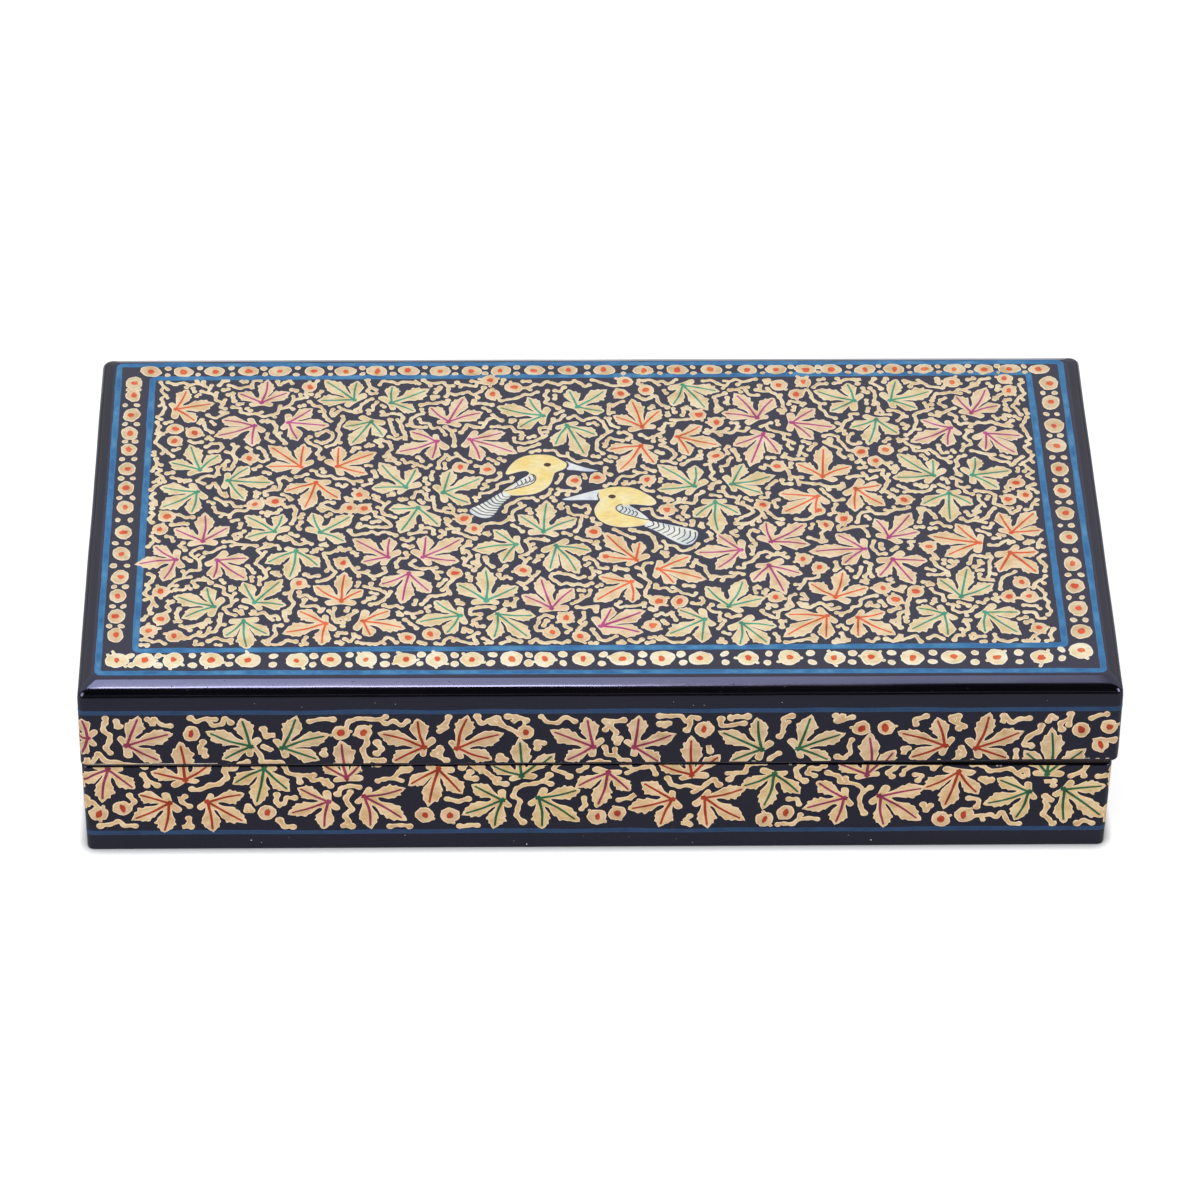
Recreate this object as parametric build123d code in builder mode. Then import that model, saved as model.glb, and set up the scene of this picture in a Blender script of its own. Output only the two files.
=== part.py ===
from build123d import *
import os

# A papier mache box of Kashmir: a flat oblong tray with a lift-off lid of about the same outline.
# Both are nailed up from thin softwood boards, pasted over with paper and lacquered.
# The lid is located by a collar of four thin strips that stands up out of the tray.
# Millimetres, +X along the box, +Y to the back, +Z up, origin in the middle under the box.

# Tray, measured over its pasted paper
base_length = 202.4
base_depth = 101.4
seam_height = 22.9

# Lid
lid_height = 21.1
lid_overhang = 0.55  # past the tray on each side, paper to paper at the lid's lower edge
lid_lean = 0.4  # how far each side leans in on its way up to the planed edge
collar_play = 0.75  # between the collar and the lid's walls, with the lid centred
lid_offset = 0.45  # the tray stands this far to the left of the lid, within that play

# Planed edge round the top of the lid, and the easing of the shoulder under it
bevel_run = 2.9
bevel_drop = 1.6
shoulder_run = 0.45
shoulder_drop = 0.85

# Boards
base_wall = 5.0
floor_board = 4.0
top_board = 4.6

# Collar
collar_strip = 2.0
collar_rise = 6.0

# Pasted paper with its ground and lacquer
base_paper = 0.8
bottom_paper = 0.6
lid_paper = 1.0
lid_top_paper = 0.6
seam_setback = 0.2  # the paper stops this far short of the seam, above and below it
corner_radius = 1.4
foot_radius = 0.4

# Lining papers
lining_paper = 0.5
lining_gap = 0.2  # between a lining's edge and the wood beside it

# Headless wire nails, punched under the surface and stopped with ground
nail_radius = 0.5
nail_length = 14.0
nail_sink = 0.8
nail_fit = 0.02  # between a nail and its hole
nails_per_corner = 2
nails_per_long_side = 4
nails_per_short_side = 2

# Heights
floor_top = bottom_paper + floor_board
collar_top = seam_height + collar_rise
lid_top = seam_height + lid_height
lid_board_top = lid_top - lid_top_paper
lid_wall_top = lid_board_top - top_board
shoulder_height = lid_top - bevel_drop

# Outlines of the boards, inside the paper
base_x = -lid_offset
base_board_length = base_length - 2 * base_paper
base_board_depth = base_depth - 2 * base_paper
base_inner_length = base_board_length - 2 * base_wall
base_inner_depth = base_board_depth - 2 * base_wall
lid_length = base_length + 2 * lid_overhang
lid_depth = base_depth + 2 * lid_overhang
lid_board_length = lid_length - 2 * lid_paper
lid_board_depth = lid_depth - 2 * lid_paper
lid_inner_length = base_inner_length + 2 * collar_play
lid_inner_depth = base_inner_depth + 2 * collar_play
lid_wall = (lid_board_depth - lid_inner_depth) / 2
shoulder_length = lid_length - 2 * lid_lean
shoulder_depth = lid_depth - 2 * lid_lean

# A nail hangs from the plane of its head, down into the wood
nail_hang = (Align.CENTER, Align.CENTER, Align.MAX)
nail_hole = nail_radius + nail_fit


def planed_edges(length, depth, low, run, drop):
    """The four planes that take the top edges off a block of this outline, from this height up."""
    sides = [(1, 0), (-1, 0), (0, 1), (0, -1)]
    return [
        Plane(origin=(x * length / 2, y * depth / 2, low), z_dir=(x * drop, y * drop, run))
        for x, y in sides
    ]


def corner_nail_heads(centre_x, length, depth, wall, low, high):
    """Heads at the four corners, for nails through the front and back walls into the end walls."""
    step = (high - low) / nails_per_corner
    heads = []
    for side in (-1, 1):
        for end in (-1, 1):
            for rank in range(nails_per_corner):
                x = centre_x + end * (length - wall) / 2
                y = side * (depth / 2 - nail_sink)
                heads.append(Plane(origin=(x, y, low + (rank + 0.5) * step), z_dir=(0, side, 0)))
    return heads


def face_nail_heads(centre_x, length, depth, wall, height, facing):
    """Heads over the middle of the four walls, for nails through a floor or top board into them."""
    spots = []
    for side in (-1, 1):
        for rank in range(nails_per_long_side):
            share = (rank + 0.5) / nails_per_long_side - 0.5
            spots.append((centre_x + share * length, side * (depth - wall) / 2))
        for rank in range(nails_per_short_side):
            share = (rank + 0.5) / nails_per_short_side - 0.5
            spots.append((centre_x + side * (length - wall) / 2, share * depth))
    return [Plane(origin=(x, y, height - facing * nail_sink), z_dir=(0, 0, facing)) for x, y in spots]


base_corner_heads = corner_nail_heads(
    base_x, base_board_length, base_board_depth, base_wall, floor_top, seam_height
)
base_floor_heads = face_nail_heads(
    base_x, base_board_length, base_board_depth, base_wall, bottom_paper, -1
)
lid_corner_heads = corner_nail_heads(
    0, lid_board_length, lid_board_depth, lid_wall, seam_height, lid_wall_top
)
lid_top_heads = face_nail_heads(
    0, lid_board_length, lid_board_depth, lid_wall, lid_board_top, 1
)

os.makedirs("parts", exist_ok=True)


# ---- Tray ----

# Floor board, the full outline of the tray, with the four walls standing on it
with BuildPart() as base_floor_board:
    with BuildSketch(Plane(origin=(base_x, 0, bottom_paper))):
        Rectangle(base_board_length, base_board_depth)
    extrude(amount=floor_board)
    with Locations(*base_floor_heads):
        Cylinder(nail_hole, nail_length, align=nail_hang, mode=Mode.SUBTRACT)
base_floor_board.part.label = "base_floor_board"
export_step(base_floor_board.part, "parts/base_floor_board.step")

# Walls: front and back run the full length, and the end walls stand between them
base_long_y = (base_board_depth - base_wall) / 2
base_end_x = (base_board_length - base_wall) / 2
base_walls = {
    "base_front_wall": (base_board_length, base_wall, 0, -base_long_y),
    "base_back_wall": (base_board_length, base_wall, 0, base_long_y),
    "base_left_wall": (base_wall, base_inner_depth, -base_end_x, 0),
    "base_right_wall": (base_wall, base_inner_depth, base_end_x, 0),
}
for name, (length, depth, x, y) in base_walls.items():
    with BuildPart() as base_wall_board:
        with BuildSketch(Plane(origin=(base_x + x, y, floor_top))):
            Rectangle(length, depth)
        extrude(amount=seam_height - floor_top)
        with Locations(*base_corner_heads, *base_floor_heads):
            Cylinder(nail_hole, nail_length, align=nail_hang, mode=Mode.SUBTRACT)
    base_wall_board.part.label = name
    export_step(base_wall_board.part, f"parts/{name}.step")

# Nails through the front and back walls into the end walls
with BuildPart() as base_corner_nails:
    with Locations(*base_corner_heads):
        Cylinder(nail_radius, nail_length, align=nail_hang)
base_corner_nails.part.label = "base_corner_nails"
export_step(base_corner_nails.part, "parts/base_corner_nails.step")

# Nails up through the floor board into the walls
with BuildPart() as base_floor_nails:
    with Locations(*base_floor_heads):
        Cylinder(nail_radius, nail_length, align=nail_hang)
base_floor_nails.part.label = "base_floor_nails"
export_step(base_floor_nails.part, "parts/base_floor_nails.step")

# Collar: four strips glued inside the walls, which stand up out of the tray into the lid
collar_long_y = (base_inner_depth - collar_strip) / 2
collar_end_x = (base_inner_length - collar_strip) / 2
collar_end_depth = base_inner_depth - 2 * collar_strip
collar_strips = {
    "collar_front_strip": (base_inner_length, collar_strip, 0, -collar_long_y),
    "collar_back_strip": (base_inner_length, collar_strip, 0, collar_long_y),
    "collar_left_strip": (collar_strip, collar_end_depth, -collar_end_x, 0),
    "collar_right_strip": (collar_strip, collar_end_depth, collar_end_x, 0),
}
for name, (length, depth, x, y) in collar_strips.items():
    with BuildPart() as strip:
        with BuildSketch(Plane(origin=(base_x + x, y, floor_top))):
            Rectangle(length, depth)
        extrude(amount=collar_top - floor_top)
    strip.part.label = name
    export_step(strip.part, f"parts/{name}.step")

# Lining paper laid on the floor inside the collar
with BuildPart() as base_floor_lining:
    with BuildSketch(Plane(origin=(base_x, 0, floor_top))):
        Rectangle(
            base_inner_length - 2 * (collar_strip + lining_gap),
            base_inner_depth - 2 * (collar_strip + lining_gap),
        )
    extrude(amount=lining_paper)
base_floor_lining.part.label = "base_floor_lining"
export_step(base_floor_lining.part, "parts/base_floor_lining.step")

# Lacquered paper round the outside of the walls, from the bottom sheet up to the seam
with BuildPart() as base_side_paper:
    with BuildSketch(Plane(origin=(base_x, 0, bottom_paper))):
        RectangleRounded(base_length, base_depth, corner_radius)
        Rectangle(base_board_length, base_board_depth, mode=Mode.SUBTRACT)
    extrude(amount=seam_height - seam_setback - bottom_paper)
base_side_paper.part.label = "base_side_paper"
export_step(base_side_paper.part, "parts/base_side_paper.step")

# Lacquered sheet under the tray, with its lower edge worn round
with BuildPart() as base_bottom_paper:
    with BuildSketch(Plane(origin=(base_x, 0, 0))):
        RectangleRounded(base_length, base_depth, corner_radius)
    extrude(amount=bottom_paper)
    fillet(base_bottom_paper.faces().sort_by(Axis.Z)[0].edges(), radius=foot_radius)
base_bottom_paper.part.label = "base_bottom_paper"
export_step(base_bottom_paper.part, "parts/base_bottom_paper.step")


# ---- Lid ----

# The boards nailed together make one block, whose top edges are planed off all round
board_bevel = planed_edges(
    lid_board_length, lid_board_depth, lid_board_top - bevel_drop, bevel_run, bevel_drop
)
with BuildPart() as lid_boards:
    with BuildSketch(Plane.XY.offset(seam_height)):
        Rectangle(lid_board_length, lid_board_depth)
    extrude(amount=lid_board_top - seam_height)
    for plane in board_bevel:
        split(bisect_by=plane, keep=Keep.BOTTOM)

# Top board, the upper part of that block, standing on the four walls
with BuildPart() as lid_top_board:
    add(lid_boards.part)
    split(bisect_by=Plane.XY.offset(lid_wall_top), keep=Keep.TOP)
    with Locations(*lid_top_heads):
        Cylinder(nail_hole, nail_length, align=nail_hang, mode=Mode.SUBTRACT)
lid_top_board.part.label = "lid_top_board"
export_step(lid_top_board.part, "parts/lid_top_board.step")

# Walls: front and back run the full length, and the end walls stand between them
lid_long_y = (lid_board_depth - lid_wall) / 2
lid_end_x = (lid_board_length - lid_wall) / 2
lid_walls = {
    "lid_front_wall": (lid_board_length, lid_wall, 0, -lid_long_y),
    "lid_back_wall": (lid_board_length, lid_wall, 0, lid_long_y),
    "lid_left_wall": (lid_wall, lid_inner_depth, -lid_end_x, 0),
    "lid_right_wall": (lid_wall, lid_inner_depth, lid_end_x, 0),
}
for name, (length, depth, x, y) in lid_walls.items():
    with BuildPart() as lid_wall_board:
        with BuildSketch(Plane(origin=(x, y, seam_height))):
            Rectangle(length, depth)
        extrude(amount=lid_wall_top - seam_height)
        with Locations(*lid_corner_heads, *lid_top_heads):
            Cylinder(nail_hole, nail_length, align=nail_hang, mode=Mode.SUBTRACT)
    lid_wall_board.part.label = name
    export_step(lid_wall_board.part, f"parts/{name}.step")

# Nails through the front and back walls into the end walls
with BuildPart() as lid_corner_nails:
    with Locations(*lid_corner_heads):
        Cylinder(nail_radius, nail_length, align=nail_hang)
lid_corner_nails.part.label = "lid_corner_nails"
export_step(lid_corner_nails.part, "parts/lid_corner_nails.step")

# Nails down through the top board into the walls
with BuildPart() as lid_top_nails:
    with Locations(*lid_top_heads):
        Cylinder(nail_radius, nail_length, align=nail_hang)
lid_top_nails.part.label = "lid_top_nails"
export_step(lid_top_nails.part, "parts/lid_top_nails.step")

# Lining paper pasted under the top board
with BuildPart() as lid_top_lining:
    with BuildSketch(Plane.XY.offset(lid_wall_top - lining_paper)):
        Rectangle(lid_inner_length - 2 * lining_gap, lid_inner_depth - 2 * lining_gap)
    extrude(amount=lining_paper)
lid_top_lining.part.label = "lid_top_lining"
export_step(lid_top_lining.part, "parts/lid_top_lining.step")

# Lacquered paper over the whole lid: leaning sides, a planed edge and an eased shoulder under it
paper_bevel = planed_edges(shoulder_length, shoulder_depth, shoulder_height, bevel_run, bevel_drop)
paper_ease = planed_edges(
    shoulder_length, shoulder_depth, shoulder_height - shoulder_drop / 2, shoulder_run, shoulder_drop
)
with BuildPart() as lid_paper_skin:
    with BuildSketch(Plane.XY.offset(seam_height + seam_setback)):
        RectangleRounded(lid_length, lid_depth, corner_radius)
    with BuildSketch(Plane.XY.offset(shoulder_height)):
        RectangleRounded(shoulder_length, shoulder_depth, corner_radius)
    loft(ruled=True)
    with BuildSketch(Plane.XY.offset(shoulder_height)):
        RectangleRounded(shoulder_length, shoulder_depth, corner_radius)
    extrude(amount=bevel_drop)
    for plane in paper_bevel + paper_ease:
        split(bisect_by=plane, keep=Keep.BOTTOM)
    add(lid_boards.part, mode=Mode.SUBTRACT)
lid_paper_skin.part.label = "lid_paper_skin"
export_step(lid_paper_skin.part, "parts/lid_paper_skin.step")
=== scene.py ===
import math
import random

import bmesh
import bpy
from mathutils import Matrix, Vector, geometry, noise


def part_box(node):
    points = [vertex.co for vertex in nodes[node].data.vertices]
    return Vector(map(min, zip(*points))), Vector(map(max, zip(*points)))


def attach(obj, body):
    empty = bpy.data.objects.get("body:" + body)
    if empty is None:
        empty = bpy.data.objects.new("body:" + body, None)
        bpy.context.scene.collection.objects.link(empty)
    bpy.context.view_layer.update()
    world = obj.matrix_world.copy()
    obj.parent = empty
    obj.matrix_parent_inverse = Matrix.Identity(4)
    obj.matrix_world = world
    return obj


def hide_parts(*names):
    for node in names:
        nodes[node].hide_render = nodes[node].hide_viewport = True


# A papier mache box of Kashmir, dressed in the order in which it is made: boards, nails, collar,
# linings, pasted paper and lacquer, then the painter's lines, leaves, rosettes, birds and tendrils.
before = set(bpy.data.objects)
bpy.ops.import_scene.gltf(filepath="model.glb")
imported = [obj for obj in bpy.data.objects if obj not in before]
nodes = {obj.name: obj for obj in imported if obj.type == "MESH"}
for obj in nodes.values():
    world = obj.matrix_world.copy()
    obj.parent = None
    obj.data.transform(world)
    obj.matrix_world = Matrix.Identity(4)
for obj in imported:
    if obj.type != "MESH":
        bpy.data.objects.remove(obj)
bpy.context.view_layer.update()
mm = 0.001


# Boards. Thin softwood boards are nailed up into a tray and a lid. Their insides and rims are
# brushed once with thin black, so the grain still shows, and the rims rub back towards wood.
board_roughness = 0.48
black_wash = (12, 11, 14)
stained_grain = (48, 40, 36)
rubbed_wood = (150, 118, 84)
grain_size = 1.1
grain_draw = 14  # how much longer than wide the grain's streaks are
grain_depth = 0.05
rub_size = 2.6
rim_reach = 0.35  # how far down from the rim the wood is rubbed


def paint_colour(red, green, blue):
    """A colour as a painter's card gives it, out of 255, for a shader."""
    shares = (red / 255, green / 255, blue / 255)
    return [s / 12.92 if s <= 0.04045 else ((s + 0.055) / 1.055) ** 2.4 for s in shares] + [1]


def finish(name, roughness):
    """A new material's shader, of one plain roughness until something feeds it."""
    material = bpy.data.materials.new(name)
    material.use_nodes = True
    shader = material.node_tree.nodes["Principled BSDF"]
    shader.inputs["Roughness"].default_value = roughness
    return shader


def add(shader, kind, **settings):
    """A node beside this shader. Settings name its sockets, _ for a space, or its properties."""
    made = shader.id_data.nodes.new("ShaderNode" + kind)
    for name, value in settings.items():
        socket = made.inputs.get(name.replace("_", " "))
        if socket is None:
            setattr(made, name, value)
        elif isinstance(value, bpy.types.NodeSocket):
            shader.id_data.links.new(value, socket)
        else:
            socket.default_value = value
    return made


def feed(shader, name, source):
    shader.id_data.links.new(source, shader.inputs[name])


def sums(shader, operation, *terms):
    """A sum, product or comparison of sockets and plain numbers."""
    made = add(shader, "Math", operation=operation)
    for socket, term in zip(made.inputs, terms):
        if isinstance(term, bpy.types.NodeSocket):
            shader.id_data.links.new(term, socket)
        else:
            socket.default_value = term
    return made.outputs[0]


def clouds(shader, size, stretch=(1, 1, 1), detail=3.0):
    """Noise whose patches are this many millimetres across, drawn out by these factors."""
    scale = [1 / (size * mm * share) for share in stretch]
    where = add(shader, "TexCoord").outputs["Object"]
    placed = add(shader, "Mapping", Vector=where, Scale=scale).outputs["Vector"]
    return add(shader, "TexNoise", Vector=placed, Scale=1.0, Detail=detail).outputs["Fac"]


def tones(shader, factor, *stops):
    """Colours set along a factor, each stop a place and a card colour or a plain grey."""
    ramp = add(shader, "ValToRGB", Fac=factor)
    while len(ramp.color_ramp.elements) < len(stops):
        ramp.color_ramp.elements.new(0.5)
    for element, (place, tone) in zip(ramp.color_ramp.elements, stops):
        element.position = place
        element.color = paint_colour(*tone) if isinstance(tone, tuple) else (tone, tone, tone, 1)
    return ramp.outputs["Color"]


def mixed(shader, share, first, second, blend="MIX"):
    return add(shader, "MixRGB", blend_type=blend, Fac=share, Color1=first, Color2=second).outputs[0]


def emboss(shader, height, depth):
    """Raises the surface by up to this many millimetres where height is 1, over what is there."""
    below = shader.inputs["Normal"].links
    bump = add(shader, "Bump", Height=height, Distance=depth * mm)
    if below:
        shader.id_data.links.new(below[0].from_socket, bump.inputs["Normal"])
    feed(shader, "Normal", bump.outputs["Normal"])


def material_of(shader):
    return next(made for made in bpy.data.materials if made.node_tree == shader.id_data)


def dress(shader, *names):
    """Gives these carried-over pieces this finish."""
    for name in names:
        for slot in nodes[name].material_slots:
            slot.material = material_of(shader)


def washed_board(name, stretch):
    """Softwood under thin black, its grain drawn out by these factors, its rim rubbed."""
    shader = finish(name, board_roughness)
    grain = clouds(shader, grain_size, stretch, detail=6.0)
    height = add(shader, "SeparateXYZ", Vector=add(shader, "TexCoord").outputs["Object"]).outputs["Z"]
    at_rim = sums(shader, "COMPARE", height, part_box("base_front_wall")[1].z, rim_reach * mm)
    rub = tones(shader, clouds(shader, rub_size, stretch), (0.52, 0.0), (0.66, 0.55))
    worn = sums(shader, "MULTIPLY", rub, at_rim)
    wash = tones(shader, grain, (0.35, black_wash), (0.62, stained_grain))
    feed(shader, "Base Color", mixed(shader, worn, wash, paint_colour(*rubbed_wood)))
    emboss(shader, grain, grain_depth)
    return shader


dress(
    washed_board("washed_board_lengthways", (grain_draw, 1, 1)),
    "base_front_wall", "base_back_wall", "base_floor_board",
    "lid_front_wall", "lid_back_wall", "lid_top_board",
)
dress(
    washed_board("washed_board_crossways", (1, grain_draw, 1)),
    "base_left_wall", "base_right_wall", "lid_left_wall", "lid_right_wall",
)


# Nails. Headless bits of drawn iron wire, punched under the wood and stopped with ground.
# The drawing leaves faint lines round the wire, and a thin brown scale grows in them.
bare_iron = (155, 152, 150)
iron_scale = (88, 66, 48)
wire_roughness = 0.42
scale_size = 0.9
die_line = (0.25, 0.01)  # size and depth of the lines that drawing leaves


def drawn_wire():
    shader = finish("drawn_iron_wire", wire_roughness)
    shader.inputs["Metallic"].default_value = 1.0
    patches = clouds(shader, scale_size, detail=5.0)
    feed(shader, "Base Color", tones(shader, patches, (0.45, bare_iron), (0.7, iron_scale)))
    emboss(shader, clouds(shader, die_line[0]), die_line[1])
    return shader


dress(drawn_wire(), "base_corner_nails", "base_floor_nails", "lid_corner_nails", "lid_top_nails")


# Collar. Four thin strips are glued inside the tray's walls and stand up to locate the lid. They
# are lacquered black, and the lid rubs their top edge back to brown each time it goes on.
collar_black = (20, 18, 25)
collar_brown = (74, 50, 36)
collar_rub = 0.9
collar_roughness = 0.24
rub_patch = 3.5
collar_polish = (0.18, 0.34)  # roughness where it is smoothest and where it is dullest
polish_patch = 5.0
collar_wave = (9.0, 0.10)  # size and depth


def rubbed_collar():
    shader = finish("rubbed_collar_lacquer", collar_roughness)
    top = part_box("collar_front_strip")[1].z
    height = add(shader, "SeparateXYZ", Vector=add(shader, "TexCoord").outputs["Object"]).outputs["Z"]
    edge = add(shader, "MapRange", Value=height, From_Min=top - collar_rub * mm, From_Max=top).outputs[0]
    patches = tones(shader, clouds(shader, rub_patch, detail=5.0), (0.45, 0.0), (0.62, 1.0))
    worn = sums(shader, "MULTIPLY", patches, edge)
    lacquered = paint_colour(*collar_black)
    feed(shader, "Base Color", mixed(shader, worn, lacquered, paint_colour(*collar_brown)))
    smooth, dull = collar_polish
    feed(shader, "Roughness", tones(shader, clouds(shader, polish_patch), (0.3, smooth), (0.7, dull)))
    emboss(shader, clouds(shader, collar_wave[0]), collar_wave[1])
    return shader


dress(
    rubbed_collar(),
    "collar_front_strip", "collar_back_strip", "collar_left_strip", "collar_right_strip",
)


# Linings. A sheet of handmade paper, dyed black in the pulp, is pasted on the tray's floor and
# another under the lid. Their fibres lie every way and their face stays dull.
pulp_black = (34, 32, 38)
pulp_fibre = (62, 58, 66)
paper_roughness = 0.78
fibre_size = 0.5
fibre_draw = 5  # how much longer than wide a fibre is
felt_depth = 0.06
cockle = (18.0, 0.25)  # size and depth of the waves that pasting leaves


def dyed_paper():
    shader = finish("dyed_pulp_paper", paper_roughness)
    fibres = clouds(shader, fibre_size, (fibre_draw, 1, 1), detail=6.0)
    crossing = clouds(shader, fibre_size, (1, fibre_draw, 1), detail=6.0)
    felt = mixed(shader, 1.0, fibres, crossing, blend="LIGHTEN")
    feed(shader, "Base Color", tones(shader, felt, (0.5, pulp_black), (0.78, pulp_fibre)))
    emboss(shader, felt, felt_depth)
    emboss(shader, clouds(shader, cockle[0]), cockle[1])
    return shader


dress(dyed_paper(), "base_floor_lining", "lid_top_lining")


# Tray shell. Layers of paper are pasted round the tray and under it, ground smooth, lacquered
# near black and varnished. The hand leaves soft corners, and a lip that dips at one corner.
paint_room = 0.12  # how far the lacquer stays inside the solid's faces, for the painting to stand on
corner = 1.4
foot_round = 0.25
tray_lip_round = 0.35
paste = 0.66  # the thickness of the pasted paper that shows
tray_dip = 0.75  # how far the tray's lip falls away at the front right corner
dip_reach = 65.0
dip_curve = 0.7  # below 1, the dip deepens fast at its far end and slowly near the corner
lip_reach = 7.0  # how far from its lip a wall follows the dip
below_lip = (0.7, 2.0, 7.0)  # the rings of the tray's wall, measured down from its lip
above_foot = (8.0, 2.0, 0.8)  # and up from its foot
wander_size = 17.0
corner_steps = 7
long_steps = 84
short_steps = 44
lacquer_navy = (6, 6, 10)
lacquer_plum = (11, 9, 12)
lacquer_sheen = (0.66, 0.65, 1.0, 1)
lacquer_roughness = 0.2
lacquer_gloss = 0.9
lacquer_shade = 26.0  # the size of its darker and plainer patches
lacquer_polish = (14.0, 0.09, 0.17)  # size of the patches, and the roughness of the two kinds
rubbing_line = (1.6, 0.004)  # size and depth
dust_grain = (0.6, 0.02)
soft_wave = (15.0, 0.07)


def millimetres(node):
    """The lowest and highest corner of a CAD node, in millimetres."""
    low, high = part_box(node)
    return low / mm, high / mm


def painted_wall(node, bottom, shoulder, lean=0.0):
    """What the four painted sides of a body measure, taken from its pasted paper."""
    low, high = millimetres(node)
    return {
        "middle": (low.x + high.x) / 2,
        "length": high.x - low.x,
        "depth": high.y - low.y,
        "bottom": bottom,
        "shoulder": shoulder,
        "lean": lean,
    }


def side_halves(wall, turn, height, inset):
    """Half the length of side `turn` and its distance from the middle, at this height."""
    up = (height - wall["bottom"]) / (wall["shoulder"] - wall["bottom"])
    inset = inset + paint_room + wall["lean"] * min(max(up, 0), 1)
    halves = (wall["length"] / 2 - inset, wall["depth"] / 2 - inset)
    return halves if turn % 2 == 0 else halves[::-1]


def stand(wall, turn, across, out, height):
    """Sides are counted counterclockwise from the front, which is 0."""
    quarter = turn * math.pi / 2
    x = across * math.cos(quarter) + out * math.sin(quarter)
    y = across * math.sin(quarter) - out * math.cos(quarter)
    return Vector((wall["middle"] + x, y, height))


def ring_point(wall, turn, share, angle, height, inset):
    """A point at this share of the side's straight half, or at this angle round its far corner."""
    half, out = side_halves(wall, turn, height, inset)
    across = share * (half - corner) + corner * math.sin(angle)
    return stand(wall, turn, across, out - corner + corner * math.cos(angle), height)


def ring_stations():
    """Side, share and angle of each point of a ring round the box."""
    for turn in range(4):
        steps = (long_steps, short_steps)[turn % 2]
        for step in range(steps):
            yield turn, 2 * step / steps - 1, 0.0
        for step in range(corner_steps):
            yield turn, 1.0, math.pi / 2 * step / corner_steps


lid_low, lid_high = millimetres("lid_paper_skin")


def corner_gap(place):
    """1 at the front right corner, where lid and tray stand apart, falling to 0 both ways."""
    away = (lid_high.x - place.x) + (place.y - lid_low.y)
    return max(1 - max(away, 0) / dip_reach, 0) ** dip_curve


def eased_edge(inset, height, radius, start, stop, steps):
    """Insets and heights of an arc about a centre, from one tilt to another in degrees above level."""
    tilts = [math.radians(start + (stop - start) * step / steps) for step in range(steps + 1)]
    return [(inset - radius * math.cos(t), height + radius * math.sin(t)) for t in tilts]


def piece_of(name, shape, body, shader):
    """Makes a piece of a shape, in millimetres, with its finish and body."""
    bmesh.ops.scale(shape, vec=(mm, mm, mm), verts=shape.verts)
    mesh = bpy.data.meshes.new(name)
    shape.to_mesh(mesh)
    shape.free()
    mesh.materials.append(material_of(shader))
    piece = bpy.data.objects.new(name, mesh)
    bpy.context.scene.collection.objects.link(piece)
    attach(piece, body)
    return piece


def pasted_shell(wall, section, sag, wander):
    """A closed shell round the box through a section of insets and heights. sag gives how far a
    point drops and wander how far it strays inward."""
    shell = bmesh.new()
    rings = []
    for inset, height in section:
        ring = []
        for turn, share, angle in ring_stations():
            place = ring_point(wall, turn, share, angle, height, inset)
            stray = wander(place) * (0.5 + noise.noise(place / wander_size))
            place = ring_point(wall, turn, share, angle, height, inset + stray)
            place.z -= sag(place)
            ring.append(shell.verts.new(place))
        rings.append(ring)
    for low, high in zip(rings, rings[1:]):
        for rank, vert in enumerate(low):
            after = (rank + 1) % len(low)
            shell.faces.new((vert, low[after], high[after], high[rank]))
    shell.faces.new(rings[0][::-1])
    shell.faces.new(rings[-1])
    bmesh.ops.recalc_face_normals(shell, faces=shell.faces)
    for face in shell.faces:
        face.smooth = True
    return shell


def lacquer(name):
    """Thin coats of near black lacquer, rubbed down by hand and varnished: soft waves, fine
    rubbing lines along the box and a little dust caught in the varnish."""
    shader = finish(name, lacquer_roughness)
    shader.inputs["Specular IOR Level"].default_value = lacquer_gloss
    shader.inputs["Specular Tint"].default_value = lacquer_sheen
    shade = clouds(shader, lacquer_shade, detail=4.0)
    feed(shader, "Base Color", tones(shader, shade, (0.35, lacquer_navy), (0.68, lacquer_plum)))
    size, smooth, dull = lacquer_polish
    feed(shader, "Roughness", tones(shader, clouds(shader, size, (3, 1, 1)), (0.3, smooth), (0.7, dull)))
    size, depth = rubbing_line
    emboss(shader, clouds(shader, size, (9, 1, 1), detail=5.0), depth)
    size, depth = dust_grain
    emboss(shader, tones(shader, clouds(shader, size, detail=1.0), (0.74, 0.0), (0.80, 1.0)), depth)
    size, depth = soft_wave
    emboss(shader, clouds(shader, size, detail=2.0), depth)
    return shader


tray_top = millimetres("base_side_paper")[1].z
tray_wall = painted_wall("base_side_paper", 0.0, tray_top)


def tray_sag(place):
    near_lip = min(max((place.z - tray_top + lip_reach) / lip_reach, 0), 1)
    return tray_dip * corner_gap(place) * near_lip


tray_section = (
    [(paste, 1.0), (paste, tray_top - 0.6)]
    + eased_edge(tray_lip_round, tray_top - tray_lip_round, tray_lip_round, 150, 0, 6)
    + [(0, tray_top - drop) for drop in below_lip]
    + [(0, height) for height in above_foot]
    + eased_edge(foot_round, foot_round, foot_round, 0, -90, 5)
    + [(1.2, 0.0)]
)
tray_shell = piece_of(
    "tray_lacquer_shell",
    pasted_shell(tray_wall, tray_section, tray_sag, lambda place: 0.0),
    "tray", lacquer("tray_black_lacquer"),
)
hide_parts("base_side_paper", "base_bottom_paper")


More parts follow.
